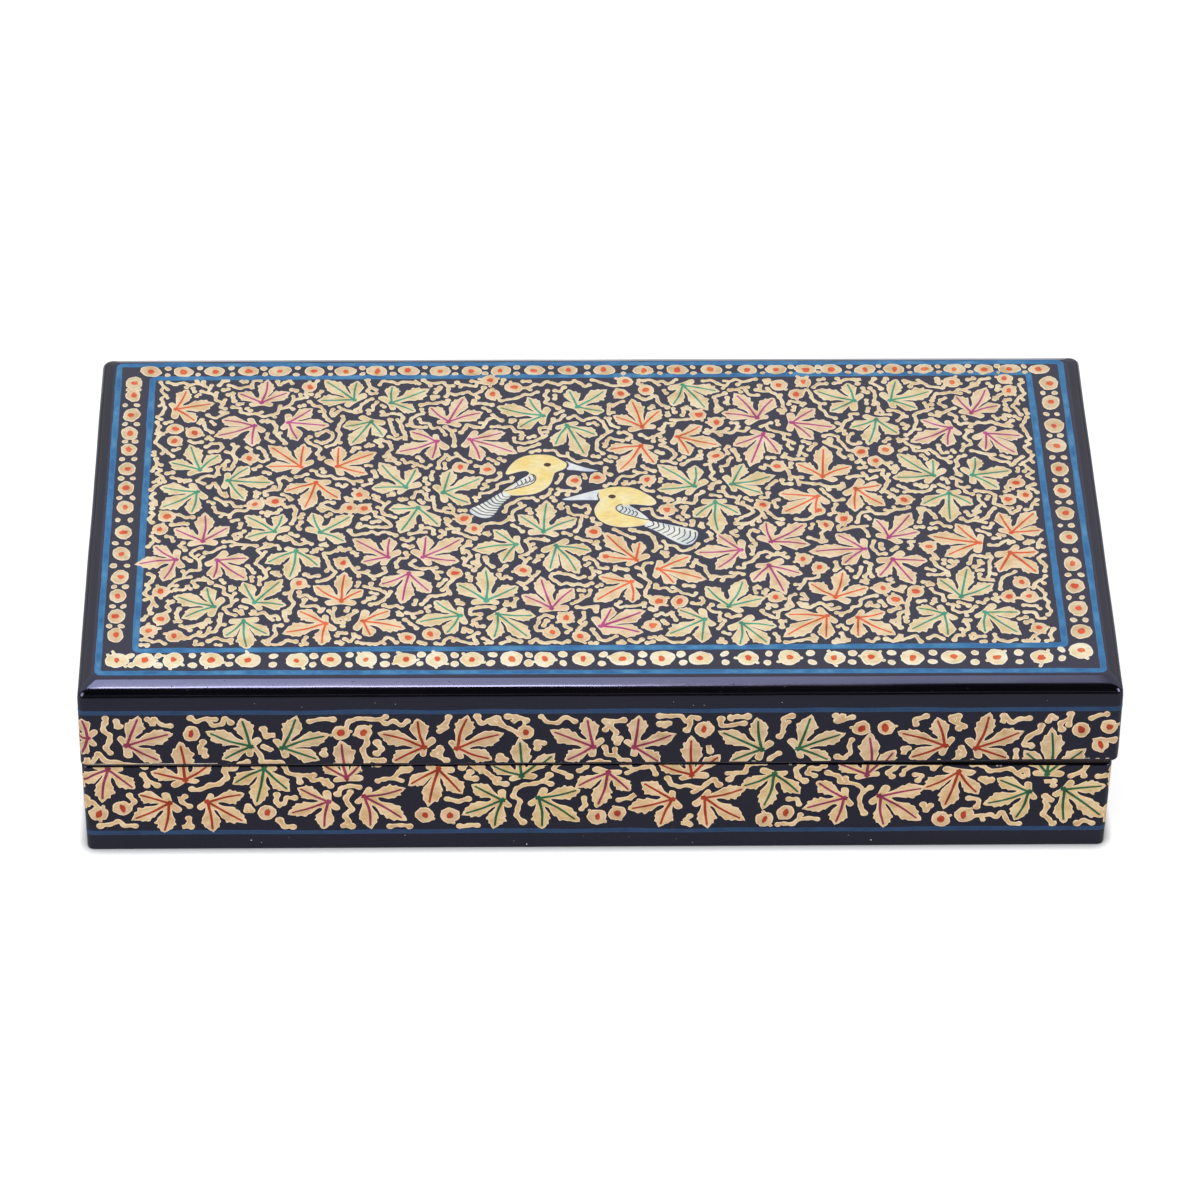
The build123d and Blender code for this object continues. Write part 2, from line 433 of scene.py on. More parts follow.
# Lid shell. The same paper, ground and lacquer cover the lid from its thick rounded lip, up walls
# that lean in a little, over a soft shoulder and a flat bevel, to the flat painted top.
lid_lip_round = 0.6
lid_lean = 0.22
shoulder_height = 42.4
bevel_run = 2.9
shoulder_ease = 1.55  # how far the rounding runs on each side of the shoulder's corner
top_ease = 0.35
hand_stray = 0.09
stray_height = 40.4  # from here up, the shoulder and the bevel stray
lid_lift = 0.3  # how far the lid's lip stands up at the front right corner
above_lip = (0.8, 3.0, 8.0)  # the rings of the lid's wall, measured up from its lip
under_shoulder = (36.0, 40.0)

lid_lip = lid_low.z
lid_top = lid_high.z - paint_room
lid_wall = painted_wall("lid_paper_skin", lid_lip, shoulder_height, lid_lean)
bevel_slope = math.degrees(math.atan2(lid_high.z - shoulder_height, bevel_run))
shoulder_turn = 90 - bevel_slope


def room_below(turn):
    """How far a corner of the lacquer lies below the solid's own, when the face turns by this."""
    return paint_room * math.tan(math.radians(turn / 2))


def ease_radius(ease, turn):
    return ease / math.tan(math.radians(turn / 2))


shoulder_z = shoulder_height - room_below(shoulder_turn)
bevel_top = bevel_run - paint_room + room_below(bevel_slope)
shoulder_radius = ease_radius(shoulder_ease, shoulder_turn)
top_radius = ease_radius(top_ease, bevel_slope)
lid_section = (
    [(3.5, 43.2), (paste, 41.6), (paste, lid_lip + 2.0), (paste, lid_lip + 0.05)]
    + eased_edge(lid_lip_round, lid_lip + lid_lip_round, lid_lip_round, -90, 0, 6)
    + [(0, lid_lip + rise) for rise in above_lip]
    + [(0, height) for height in under_shoulder]
    + eased_edge(shoulder_radius, shoulder_z - shoulder_ease, shoulder_radius, 0, shoulder_turn, 12)
    + eased_edge(bevel_top + top_ease, lid_top - top_radius, top_radius, shoulder_turn, 90, 5)
    + [(bevel_top + 0.8, lid_top), (bevel_top + 3.0, lid_top)]
)


def lid_sag(place):
    near_lip = min(max((lid_lip + lip_reach - place.z) / lip_reach, 0), 1)
    return -lid_lift * corner_gap(place) * near_lip


def lid_wander(place):
    return hand_stray if place.z > stray_height else 0.0


lid_shell = piece_of(
    "lid_lacquer_shell",
    pasted_shell(lid_wall, lid_section, lid_sag, lid_wander),
    "lid", lacquer("lid_black_lacquer"),
)
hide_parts("lid_paper_skin")


# Ruled lines. Two blue lines run round the top inside the bevel, and one round each body's sides.
# They are ruled in distemper with a fine brush, so their edges and strength vary along the way.
line_blue = (44, 116, 168)
line_deep = (22, 96, 150)
line_pale = (76, 140, 184)
side_line_blue = (33, 65, 102)
side_line_deep = (24, 54, 90)
line_relief = 0.03
stroke_half = ((1.14, 0.0, 0.0), (0.92, 0.55, 0.5), (0.5, 0.95, 1.0))
stroke_section = (
    *((-side, rise, body) for side, rise, body in stroke_half), (0.0, 1.0, 1.0), *stroke_half[::-1],
)
ragged = 0.16  # how far a stroke's edges stray, as a share of its width
cap_section = ((1.0, 0.05), (0.87, 0.5), (0.5, 0.87))
sunk = 0.012  # a stroke's edge goes this far into the lacquer
bend_steps = 9
pool_size = 3.2
streak_size = 0.5
bristle_mark = (0.45, 0.012)  # size and depth
bake_span = 240.0
bake_home = {"top": (104, 53), 0: (110, 105), 2: (110, 150), 1: (55, 195), 3: (165, 195)}
wall_of = {"lid": lid_wall, "tray": tray_wall}
tray_paint_end = tray_top - 0.15
lid_paint_end = lid_lip + 0.8
ruled_step = 2.5
ruled_sway = (9.0, 0.10, 0.18)  # its length, how far it moves the line, and its share of the width
side_line_half = 0.56
side_line_step = 0.4
side_line_sway = (13.0, 0.25, 0.2)
ragged_size = 0.7
hand = random.Random(1947)  # the painter's hand, unsteady in the same way each time
sheets = {}


def sheet_of(coat, face):
    """The strokes of one coat on one face, laid flat in millimetres: across, up and proud."""
    if (coat, face) not in sheets:
        flat = bmesh.new()
        flat.verts.layers.float.new("body")
        sheets[coat, face] = flat
    return sheets[coat, face]


def spot(flat, across, up, proud, body=1.0):
    """A point of paint, whose body is 0 at a stroke's thin edge and 1 where it is full."""
    vert = flat.verts.new((across, up, proud))
    vert[flat.verts.layers.float["body"]] = body
    return vert


def weave(flat, rows, closed=False, smooth=True):
    """Faces between neighbouring rows of points, and round from last to first if closed."""
    pairs = list(zip(rows, rows[1:])) + ([(rows[-1], rows[0])] if closed else [])
    for near, far in pairs:
        for rank in range(len(near) - 1):
            face = flat.faces.new((near[rank], near[rank + 1], far[rank + 1], far[rank]))
            face.smooth = smooth


def stroke(coat, face, path, relief, closed=False):
    """One stroke of a loaded brush, a low ridge along points of (across, up, radius)."""
    flat = sheet_of(coat, face)
    count = len(path)
    rows = []
    for rank, (across, up, radius) in enumerate(path):
        before = path[rank - 1] if closed or rank else path[0]
        after = path[(rank + 1) % count] if closed or rank < count - 1 else path[-1]
        along = Vector((after[0] - before[0], after[1] - before[1])).normalized()
        ends = [(radius, 0.0)]
        if not closed and rank == 0:
            ends = [(radius * r, -radius * s) for s, r in cap_section] + ends
        if not closed and rank == count - 1:
            ends = ends + [(radius * r, radius * s) for s, r in cap_section[::-1]]
        for half, ahead in ends:
            middle = Vector((across, up)) + along * ahead
            lift = relief * min(half / radius, 1) ** 0.5
            row = []
            for side, rise, body in stroke_section:
                stray = 1 + ragged * noise.noise(Vector((across, up, 3 * side)) / ragged_size)
                place = middle + Vector((-along.y, along.x)) * (half * side * stray)
                row.append(spot(flat, *place, lift * rise - sunk * (1 - body), body))
            rows.append(row)
    weave(flat, rows, closed)


def soften(path, passes=2, closed=False):
    """Cuts the corners of a path of number tuples, and keeps its ends if it is open."""
    for _ in range(passes):
        pairs = list(zip(path, path[1:])) + ([(path[-1], path[0])] if closed else [])
        cut = []
        for one, two in pairs:
            cut.append(tuple(0.75 * p + 0.25 * q for p, q in zip(one, two)))
            cut.append(tuple(0.25 * p + 0.75 * q for p, q in zip(one, two)))
        path = cut if closed else [path[0]] + cut + [path[-1]]
    return path


def ruled(corners, width, round_off):
    """A closed line through these corners, its width and place a little unsteady."""
    sway_length, move, swell = ruled_sway
    path = []
    for (x, y), (next_x, next_y) in zip(corners, corners[1:] + corners[:1]):
        length = math.hypot(next_x - x, next_y - y)
        steps = int(length / ruled_step)
        for step in range(steps + 1):
            share = (round_off + (length - 2 * round_off) * step / steps) / length
            across, up = x + (next_x - x) * share, y + (next_y - y) * share
            unsteady = noise.noise(Vector((across, up, width)) / sway_length)
            path.append((across, up + move * unsteady, width / 2 * (1 + swell * unsteady)))
    return path


def lip_of(body, face, across):
    """The height where a body's paint ends, at this place along a side."""
    end, drop = {"lid": (lid_paint_end, -lid_lift), "tray": (tray_paint_end, tray_dip)}[body]
    return end - drop * corner_gap(on_side(wall_of[body], face, across, end))


def on_side(wall, turn, across, height, proud=0.0):
    """Where a flat point lies on side `turn`. Past the corner it goes on round to the next side."""
    half, out = side_halves(wall, turn, height, 0.0)
    straight = half - corner
    past = max(abs(across) - straight, 0)
    angle = min(past / corner, math.pi / 2)
    reach = corner + proud
    along = min(abs(across), straight) + reach * math.sin(angle)
    out += reach * math.cos(angle) - corner - (past - corner * angle)
    return stand(wall, turn, math.copysign(along, across), out, height)


def cut_at_lip(flat, body, face):
    """Levels the lip, cuts off what lies beyond it and lets the rest back down."""
    for vert in flat.verts:
        vert.co.y -= lip_of(body, face, vert.co.x)
    everything = flat.verts[:] + flat.edges[:] + flat.faces[:]
    bmesh.ops.bisect_plane(
        flat, geom=everything, plane_co=(0, 0, 0), plane_no=(0, 1, 0),
        clear_inner=body == "lid", clear_outer=body == "tray",
    )
    for vert in flat.verts:
        vert.co.y += lip_of(body, face, vert.co.x)


def score_corners(flat, wall, face):
    """Cuts a sheet across where it bends round a corner, so that it lies close all the way."""
    straight = side_halves(wall, face, wall["bottom"], 0.0)[0] - corner
    for step in range(bend_steps + 1):
        for side in (-1, 1):
            across = side * (straight - 0.2 + (corner * math.pi / 2 + 0.2) * step / bend_steps)
            everything = flat.verts[:] + flat.edges[:] + flat.faces[:]
            bmesh.ops.bisect_plane(flat, geom=everything, plane_co=(across, 0, 0), plane_no=(1, 0, 0))


def hang(name, coat, body, shader):
    """Puts a coat's flat sheets on a body's faces as one piece, cut where they cross the seam."""
    wall = wall_of[body]
    whole = bmesh.new()
    for (kind, face), flat in sheets.items():
        if kind != coat or (face == "top" and body == "tray"):
            continue
        part = flat.copy()
        if face != "top":
            cut_at_lip(part, body, face)
            score_corners(part, wall, face)
        chart = part.loops.layers.uv.new("OFBake")
        home = bake_home[face]
        for shape in part.faces:
            shape.normal_update()
            if shape.normal.z < 0:
                shape.normal_flip()
            for loop in shape.loops:
                across, up, _ = loop.vert.co
                loop[chart].uv = ((across + home[0]) / bake_span, (up + home[1]) / bake_span)
        for vert in part.verts:
            across, up, proud = vert.co
            if face == "top":
                vert.co = (across, up, lid_top + proud)
            else:
                vert.co = on_side(wall, face, across, up, proud)
        laid = bpy.data.meshes.new("laid")
        part.to_mesh(laid)
        part.free()
        whole.from_mesh(laid)
        bpy.data.meshes.remove(laid)
    return piece_of(name, whole, body, shader)


def distemper(name, base, deep, pale, thin, rim, roughness=0.34):
    """Pigment in glue under varnish: pools pale and deep, streaks of the brush, a rim colour just
    inside the edge, which on the creams is a pale painted highlight, and a thin edge."""
    shader = finish(name, roughness)
    pools = tones(shader, clouds(shader, pool_size, detail=4.0), (0.32, deep), (0.5, base), (0.68, pale))
    streaks = tones(shader, clouds(shader, streak_size, (3, 1, 1), detail=4.0), (0.3, 0.86), (0.6, 1.0))
    colour = mixed(shader, 1.0, pools, streaks, blend="MULTIPLY")
    covered = add(shader, "Attribute", attribute_name="body").outputs["Fac"]
    edge = tones(shader, covered, (0.12, thin), (0.45, rim))
    inside = tones(shader, covered, (0.5, 0.0), (1.0, 1.0))
    feed(shader, "Base Color", mixed(shader, inside, edge, colour))
    size, depth = bristle_mark
    emboss(shader, clouds(shader, size, (2, 1, 1), detail=4.0), depth)
    return shader


line_outer = ((-97.6, 47.1), (-97.5, -46.5), (97.6, -46.9), (97.1, 47.3))
line_inner = ((-90.6, 42.8), (-90.5, -40.1), (90.7, -39.6), (90.2, 43.8))
side_line = {"lid": 37.4, "tray": 4.6}
for corners, width, rounding in ((line_outer, 1.25, 0.35), (line_inner, 1.35, 0.45)):
    stroke("ruled_line", "top", soften(ruled(list(corners), width, rounding), 1, True), line_relief, True)
sway_length, move, swell = side_line_sway
for body, height in side_line.items():
    wall = wall_of[body]
    for turn in range(4):
        half = side_halves(wall, turn, height, 0.0)[0] - corner + corner * math.pi / 4
        steps = int(half / side_line_step)
        path = []
        for step in range(-steps, steps + 1):
            across = half * step / steps
            unsteady = noise.noise(Vector((across, height, turn)) / sway_length) * (1 - (step / steps) ** 4)
            path.append((across, height + move * unsteady, side_line_half * (1 + swell * unsteady)))
        stroke("side_line", turn, path, line_relief)
hang("lid_top_blue_lines", "ruled_line", "lid",
     distemper("ruled_blue", line_blue, line_deep, line_pale, line_deep, line_blue))
side_blue = distemper(
    "side_line_blue", side_line_blue, side_line_deep, side_line_blue, side_line_deep, side_line_blue,
)
hang("lid_side_blue_line", "side_line", "lid", side_blue)
hang("tray_side_blue_line", "side_line", "tray", side_blue)


# Chinar leaves. The painter's main motif: each leaf is laid in cream with a full brush, three long
# toothed lobes and two small ones about one point, and then veined wet in orange, rose or green.
leaf_relief = 0.036
vein_relief = 0.05
under_edge = 0.06  # how far a first coat stays inside the rim of what covers it
leaf_edge = (0.04, 0.26)  # how far a leaf's pale rim and its full body lie inside its outline
plate_skirt = 0.06  # how far a plate's thin edge spreads past its outline
plate_rim_rise = 0.7  # the rise of its rim and of its first coat, as a share of its relief
patch_section = (  # inward, rise and body
    (-0.09, 0.0, 0.0), (0.04, 0.6, 0.5), (0.29, 0.95, 1.0), (0.44, 1.0, 1.0),
)
patch_slack = 0.02  # a point of a patch may lie this much further out than its outline
patch_pull = 0.1  # or else it is pulled in towards the middle by this share for each millimetre
full_reach = 7.3  # the reach of the leaf that the teeth below are drawn for
lobe_teeth = (
    (0.33, 0.84), (0.45, 1.20), (0.58, 1.90), (0.62, 1.52), (0.755, 2.14), (0.795, 1.52), (0.92, 1.46),
    (0.925, 0.96), (1.02, 0.66), (1.10, 0.04),
)
notch_reach = 0.27
small_lobe_turn = 52.0
small_lobe_reach = 2.85
small_lobe_teeth = ((-27, 0.58), (-20, 0.84), (-9, 1.0), (5, 1.04), (16, 0.93), (25, 0.62))
lobe_growth = (0.72, 0.28)  # a lobe's breadth is partly fixed, and partly follows its reach
outer_spread = 24  # how many degrees a side lobe spreads on its free side
lobe_fill = 0.92  # how much of the way to its neighbour a lobe may fill
outer_notch = (0.52, 1.55)  # its turn, as a share of the small lobe's, and its reach
back_notch = 0.8
vein_radius = 0.31
vein_foot = 0.38
vein_tip = 0.26
vein_bow = 0.06
side_brush = 1.25  # how much thicker a side's veins are than the top's
vein_lighter = 22
vein_darker = 0.8
paint_thin = (30, 17, 12)
leaf_names = {"R": "orange", "M": "rose", "G": "green"}
# For each zone and colour: the leaf's cream, where it pooled, where it is palest, and its vein.
leaf_paints = {
    ("lid", "top"): {
        "R": ((240, 210, 166), (228, 190, 140), (248, 222, 186), (228, 92, 42)),
        "M": ((241, 212, 172), (228, 190, 148), (248, 224, 190), (182, 58, 128)),
        "G": ((238, 214, 168), (224, 196, 142), (248, 226, 186), (58, 152, 122)),
    },
    ("lid", "side"): {
        "R": ((214, 180, 140), (198, 160, 118), (226, 198, 162), (154, 40, 10)),
        "M": ((216, 183, 144), (198, 162, 122), (228, 200, 166), (144, 42, 78)),
        "G": ((216, 187, 146), (198, 168, 122), (228, 204, 166), (22, 90, 54)),
    },
    # The tray's paints are lighter than the lid's sides: a painted brightening that makes up for the weaker
    # light on the tray's walls.
    ("tray", "side"): {
        "R": ((228, 192, 146), (210, 170, 120), (240, 208, 168), (160, 44, 12)),
        "M": ((230, 196, 148), (212, 174, 122), (240, 210, 170), (146, 42, 78)),
        "G": ((226, 194, 142), (208, 174, 118), (238, 210, 166), (22, 90, 54)),
    },
}
# The creams' pale rims: a painted highlight along the inside of each motif's edge.
rim_highlights = {"top": (255, 236, 206), "side": (255, 226, 186)}
vein_stain = 0.30  # how much of a vein's colour its thin edge has, the rest being the leaf's own

# Each leaf of the top: its colour, the foot of its veins, and the ends of its left, middle and
# right vein, all in millimetres from the back left corner, rightward and forward.
top_leaves = """
R 16.1 18.3 18.0 12.6 23.2 16.7 20.0 22.0
M 33.5 16.3 29.0 13.5 34.6 9.6 38.6 13.3
G 52.4 15.5 52.9 10.0 46.7 9.7 45.6 15.7
M 32.2 23.7 26.0 21.9 24.9 26.8 31.9 29.6
M 39.2 22.7 43.6 18.7 46.8 23.7 41.0 27.9
G 56.0 22.5 50.8 24.0 52.2 29.3 58.4 26.9
G 21.6 37.4 15.8 35.2 19.5 30.2 25.2 33.0
R 41.9 36.5 42.4 30.1 35.9 30.5 35.5 36.5
R 49.4 36.5 49.5 30.7 56.6 32.6 54.9 38.7
G 27.5 40.8 31.3 36.8 36.0 41.5 30.7 46.5
G 21.3 44.3 14.4 42.9 14.6 48.9 20.5 50.5
R 45.1 41.6 39.2 44.0 43.0 49.3 49.6 46.3
M 23.0 59.2 17.5 55.8 23.2 51.4 27.7 55.3
G 37.1 56.4 38.6 51.6 31.6 51.9 31.9 58.1
G 46.3 56.7 44.7 51.3 52.2 52.0 51.0 59.4
M 17.8 64.8 13.6 60.9 10.6 66.0 15.7 70.6
M 26.1 65.0 31.8 64.4 31.6 70.4 25.5 70.2
G 41.6 62.3 36.1 65.6 40.5 70.2 46.0 66.7
G 33.8 77.5 31.6 72.0 38.6 71.4 39.4 78.3
G 25.8 78.7 24.3 73.3 18.6 75.8 20.3 81.7
R 50.8 77.2 45.8 73.0 51.3 69.4 54.7 74.2
G 31.8 83.0 28.5 87.2 32.6 90.6 36.4 86.7
R 47.8 83.8 42.7 80.2 40.2 86.3 47.2 89.5
G 60.1 16.5 60.2 11.5 67.2 12.6 64.6 19.1
M 71.8 22.6 68.2 18.3 74.8 15.3 78.3 19.8
G 91.0 20.8 88.3 15.4 82.3 18.2 86.3 24.4
G 98.2 18.0 96.6 13.0 103.8 13.0 103.2 19.4
M 69.4 28.8 64.3 25.8 61.8 32.0 68.5 34.1
M 76.3 28.3 82.7 26.2 84.9 32.2 78.2 34.4
G 96.0 24.0 93.5 29.9 99.4 33.0 101.6 26.8
G 63.2 43.0 65.2 37.6 58.2 36.0 56.9 43.2
G 70.8 44.7 72.1 38.3 78.2 40.4 75.8 47.9
G 65.7 49.4 60.4 49.7 62.4 56.4 69.7 54.5
G 90.8 56.7 86.2 52.0 91.5 48.0 97.1 53.0
G 85.2 60.6 81.2 56.6 77.4 61.9 82.6 65.6
G 93.3 61.1 91.9 68.0 97.2 68.7 99.8 62.5
M 59.8 64.2 60.1 58.8 53.4 59.2 55.0 65.6
M 66.9 64.2 67.3 58.3 74.2 59.0 73.3 65.5
M 64.0 69.2 58.7 72.3 62.8 77.3 68.0 74.4
G 79.3 77.2 73.8 72.5 79.2 68.2 85.1 73.4
M 92.1 79.5 86.8 75.9 90.1 71.0 96.2 74.1
G 74.1 81.6 69.4 77.7 66.2 83.3 71.6 86.6
G 81.6 81.3 88.3 81.7 87.3 87.8 80.8 88.0
R 55.2 83.1 60.1 80.2 62.8 85.0 56.6 87.2
G 120.1 11.2 117.9 17.3 124.4 18.4 126.8 13.0
R 111.3 24.4 106.0 21.2 109.5 16.4 114.9 19.4
R 118.5 27.6 123.1 24.4 126.4 30.2 120.6 33.0
R 110.9 30.4 104.6 31.5 106.5 38.0 113.4 35.7
G 121.3 43.0 121.8 37.1 114.8 36.8 114.5 44.0
G 129.0 42.4 131.3 36.6 136.9 40.1 134.6 45.1
M 134.9 21.6 128.4 20.2 131.0 14.4 138.4 15.7
M 142.0 23.2 146.5 19.1 150.2 24.7 145.7 28.0
M 135.9 26.9 130.2 30.1 133.1 36.0 138.7 32.6
R 147.4 40.1 142.6 36.3 148.0 31.5 153.0 37.2
R 146.0 46.3 138.8 45.5 139.2 51.0 145.4 51.5
G 155.1 16.3 154.0 11.0 147.6 13.3 150.3 19.5
G 125.4 48.0 121.3 52.2 125.6 56.8 129.9 51.4
R 109.0 65.3 109.9 60.2 103.3 57.8 103.2 64.3
R 113.5 68.1 119.5 64.5 122.0 71.0 116.3 72.3
R 107.9 71.9 102.0 70.4 101.0 77.2 108.1 77.5
M 129.9 62.5 125.7 58.1 121.5 63.2 125.3 67.8
M 136.2 60.0 135.3 54.4 142.8 55.0 143.1 60.8
M 135.4 67.2 132.1 71.6 138.0 75.0 141.3 69.5
M 154.5 62.3 149.5 58.1 144.6 63.0 150.4 66.6
G 127.0 79.1 122.9 73.8 130.0 72.0 133.5 77.0
G 122.0 83.0 117.3 80.3 115.0 87.2 121.3 89.2
G 129.3 84.2 135.6 85.0 134.0 89.8 128.7 90.3
R 146.0 82.2 138.5 81.7 138.0 87.6 145.6 88.4
R 148.1 76.6 143.4 72.7 149.9 69.3 154.2 74.0
M 101.8 84.8 103.8 79.8 109.7 80.8 109.2 86.6
G 162.6 16.2 164.0 10.1 170.8 13.4 167.6 18.7
M 179.0 20.2 176.2 15.2 182.4 12.9 184.5 18.0
G 159.3 22.4 154.2 24.8 157.4 29.7 163.3 26.6
M 174.3 25.1 168.9 22.7 166.7 29.2 173.4 30.4
M 181.5 26.8 188.4 27.6 186.9 32.9 181.0 31.9
G 169.8 39.9 170.0 35.2 163.4 33.8 162.3 40.5
G 177.8 39.9 178.7 34.6 185.3 38.6 182.5 43.8
G 172.6 45.5 167.2 48.7 172.3 53.6 176.8 48.7
R 153.9 44.0 158.7 42.9 159.0 48.8 153.4 50.3
M 159.7 58.8 157.5 53.6 164.3 52.0 165.4 57.3
R 177.5 60.6 173.6 55.3 168.4 58.6 171.2 64.2
R 184.3 57.5 182.3 51.9 189.3 51.6 190.0 56.9
R 183.6 63.6 188.7 63.4 188.3 69.4 181.1 68.9
M 160.1 65.5 166.4 65.9 163.6 72.2 157.2 70.3
G 172.9 76.6 169.0 71.6 174.6 68.4 179.0 73.3
G 169.2 81.6 164.2 80.0 162.4 86.2 169.5 87.8
G 177.3 81.3 183.7 81.3 183.2 87.2 176.8 86.9
R 152.2 82.7 157.2 81.3 158.6 87.2 151.9 88.0
"""

# Each leaf of the front in the same way, from the left end and from the top down.
front_leaves = """
M 1.7 13.5 0.8 9.0 -4.5 13.2 0.3 17.6
M 9.2 15.5 11.6 8.5 17.4 12.6 15.2 19.5
G 33.2 15.9 31.8 9.1 25.4 12.4 28.2 19.1
G 39.5 16.3 42.2 8.7 47.8 13.2 46.0 19.3
R 20.6 25.3 14.5 23.3 19.6 15.5 25.4 21.3
M 5.6 22.4 0.5 25.5 4.1 30.6 10.2 27.4
R 17.2 31.7 11.6 29.4 10.3 35.9 16.0 39.3
R 24.8 31.4 31.4 29.4 31.5 36.7 25.5 39.0
G 36.1 22.4 30.3 26.2 34.4 31.6 40.5 28.0
M 48.4 31.5 43.0 27.9 41.2 34.5 47.5 38.4
M 52.2 25.0 48.0 21.7 50.9 15.2 54.6 21.9
M 55.7 30.2 63.0 28.2 63.0 36.1 56.7 38.2
R 67.0 16.3 65.8 9.4 59.0 12.7 61.3 19.9
R 73.5 16.6 75.4 8.7 81.7 13.0 79.7 19.5
R 70.2 22.8 64.8 26.7 68.3 32.0 74.5 29.0
G 86.5 24.6 81.0 22.0 85.7 15.0 92.0 18.8
G 82.7 31.3 77.3 27.4 75.4 34.9 81.2 38.4
G 90.0 30.8 97.4 28.7 97.2 36.7 90.6 38.6
M 100.0 16.4 98.8 9.3 92.3 12.4 95.0 19.9
M 103.5 23.9 97.7 27.4 101.6 32.7 107.6 28.6
M 108.1 16.5 108.8 8.9 115.3 13.4 112.8 20.4
R 119.9 24.6 113.9 21.9 119.1 14.6 124.5 19.3
G 132.9 17.3 132.0 9.7 125.2 12.8 127.3 20.2
G 140.2 17.1 142.2 9.0 148.3 13.4 146.0 20.1
G 136.2 24.5 130.3 27.7 134.4 33.2 141.0 29.4
R 116.2 31.3 110.6 26.9 108.2 33.8 114.0 38.2
R 122.6 31.0 130.0 28.6 129.9 36.7 123.3 38.6
M 154.4 24.7 149.0 21.9 154.0 14.1 158.8 18.3
M 150.2 31.2 145.0 27.0 142.9 33.8 148.8 37.8
M 157.3 30.7 165.4 28.6 164.9 36.9 158.3 38.6
R 168.8 16.5 167.0 9.8 160.2 13.2 162.4 19.6
R 175.0 17.2 177.0 8.8 183.3 13.1 181.0 19.9
R 172.4 24.2 166.2 28.4 170.2 33.3 176.2 29.8
G 189.9 24.6 184.9 18.6 189.6 13.0 195.9 18.1
G 186.6 29.7 180.7 26.4 178.6 32.8 184.5 36.8
G 193.6 29.1 201.0 28.2 201.3 36.3 194.0 37.6
"""
left_edge = 101.5
back_edge = 51.25
side_top = 44.4


def read_leaves(lines, down_from):
    """Leaves as (colour, foot, three tips), measured from the face's middle and upward."""
    for line in lines.split("\n"):
        colour, *numbers = line.split() or " "
        if numbers:
            measured = [float(number) for number in numbers]
            places = [Vector((a - left_edge, down_from - b)) for a, b in zip(measured[::2], measured[1::2])]
            yield colour, places[0], sorted_tips(places[0], places[1:])


def sorted_tips(foot, tips):
    """The tips counterclockwise about the foot, the middle one staying in the middle."""
    middle = tips[1] - foot
    return sorted(tips, key=lambda tip: middle.angle_signed(tip - foot) * -1)


def heading_of(way):
    return math.atan2(way.y, way.x)


def from_polar(centre, angle, reach):
    return Vector((centre.x + reach * math.cos(angle), centre.y + reach * math.sin(angle)))


def leaf_outline(foot, tips, uneven):
    """The leaf's edge, counterclockwise: small lobe, three long lobes, small lobe, and the back."""
    headings = [heading_of(tip - foot) for tip in tips]
    for rank in (1, 2):
        while headings[rank] < headings[rank - 1]:
            headings[rank] += math.tau
    reaches = [(tip - foot).length for tip in tips]
    gaps = [headings[1] - headings[0], headings[2] - headings[1]]
    small_turn = math.radians(small_lobe_turn)
    ring = small_lobe(headings[0] - small_turn, uneven)
    for rank in range(3):
        size = reaches[rank] / full_reach
        limits = (
            gaps[rank - 1] / 2 if rank else math.radians(outer_spread),
            gaps[rank] / 2 if rank < 2 else math.radians(outer_spread),
        )
        lobe = []
        for side, limit in ((-1, limits[0]), (1, limits[1])):
            half = []
            for share, across in lobe_teeth:
                across *= (lobe_growth[0] + lobe_growth[1] * size) * uneven(0.14)
                along = reaches[rank] * share * uneven(0.03)
                turn = min(math.atan2(across, along), limit * lobe_fill)
                half.append((headings[rank] + side * turn, math.hypot(along, across)))
            lobe = half if side < 0 else lobe + half[::-1]
        notch_turn = headings[rank] - limits[0]
        if rank:
            ring.append((notch_turn, notch_reach * (reaches[rank] + reaches[rank - 1]) / 2 * uneven(0.15)))
        else:
            ring.append((headings[0] - small_turn * outer_notch[0], outer_notch[1] * uneven(0.15)))
        ring += lobe
    ring.append((headings[2] + small_turn * outer_notch[0], outer_notch[1] * uneven(0.15)))
    ring += small_lobe(headings[2] + small_turn, uneven)
    back = (headings[0] + headings[2]) / 2 + math.pi
    ring.append((back, back_notch * uneven(0.2)))
    return [from_polar(foot, angle, reach) for angle, reach in ring]


def small_lobe(heading, uneven):
    """A rounded lobe at the foot of the leaf, with a tooth or two."""
    size = small_lobe_reach * uneven(0.16)
    return [(heading + math.radians(turn), size * share * uneven(0.06)) for turn, share in small_lobe_teeth]


def patch(coat, face, centre, outline, relief):
    """A low flat-topped dab whose edge is seen whole from its centre."""
    flat = sheet_of(coat, face)
    count = len(outline)
    rows = []
    for rank, place in enumerate(outline):
        along = (outline[(rank + 1) % count] - outline[rank - 1]).normalized()
        row = []
        for inward, rise, body in patch_section:
            point = place + Vector((-along.y, along.x)) * inward
            if inward > 0 and (point - centre).length > (place - centre).length + patch_slack:
                point = place.lerp(centre, patch_pull * inward)
            row.append(spot(flat, *point, relief * rise - sunk * (1 - rise), body))
        half = centre.lerp(point, 0.5)
        rows.append([*row, spot(flat, *half, relief)])
    weave(flat, rows, True, False)
    top = spot(flat, *centre, relief)
    for rank in range(count):
        flat.faces.new((rows[rank - 1][-1], rows[rank][-1], top))


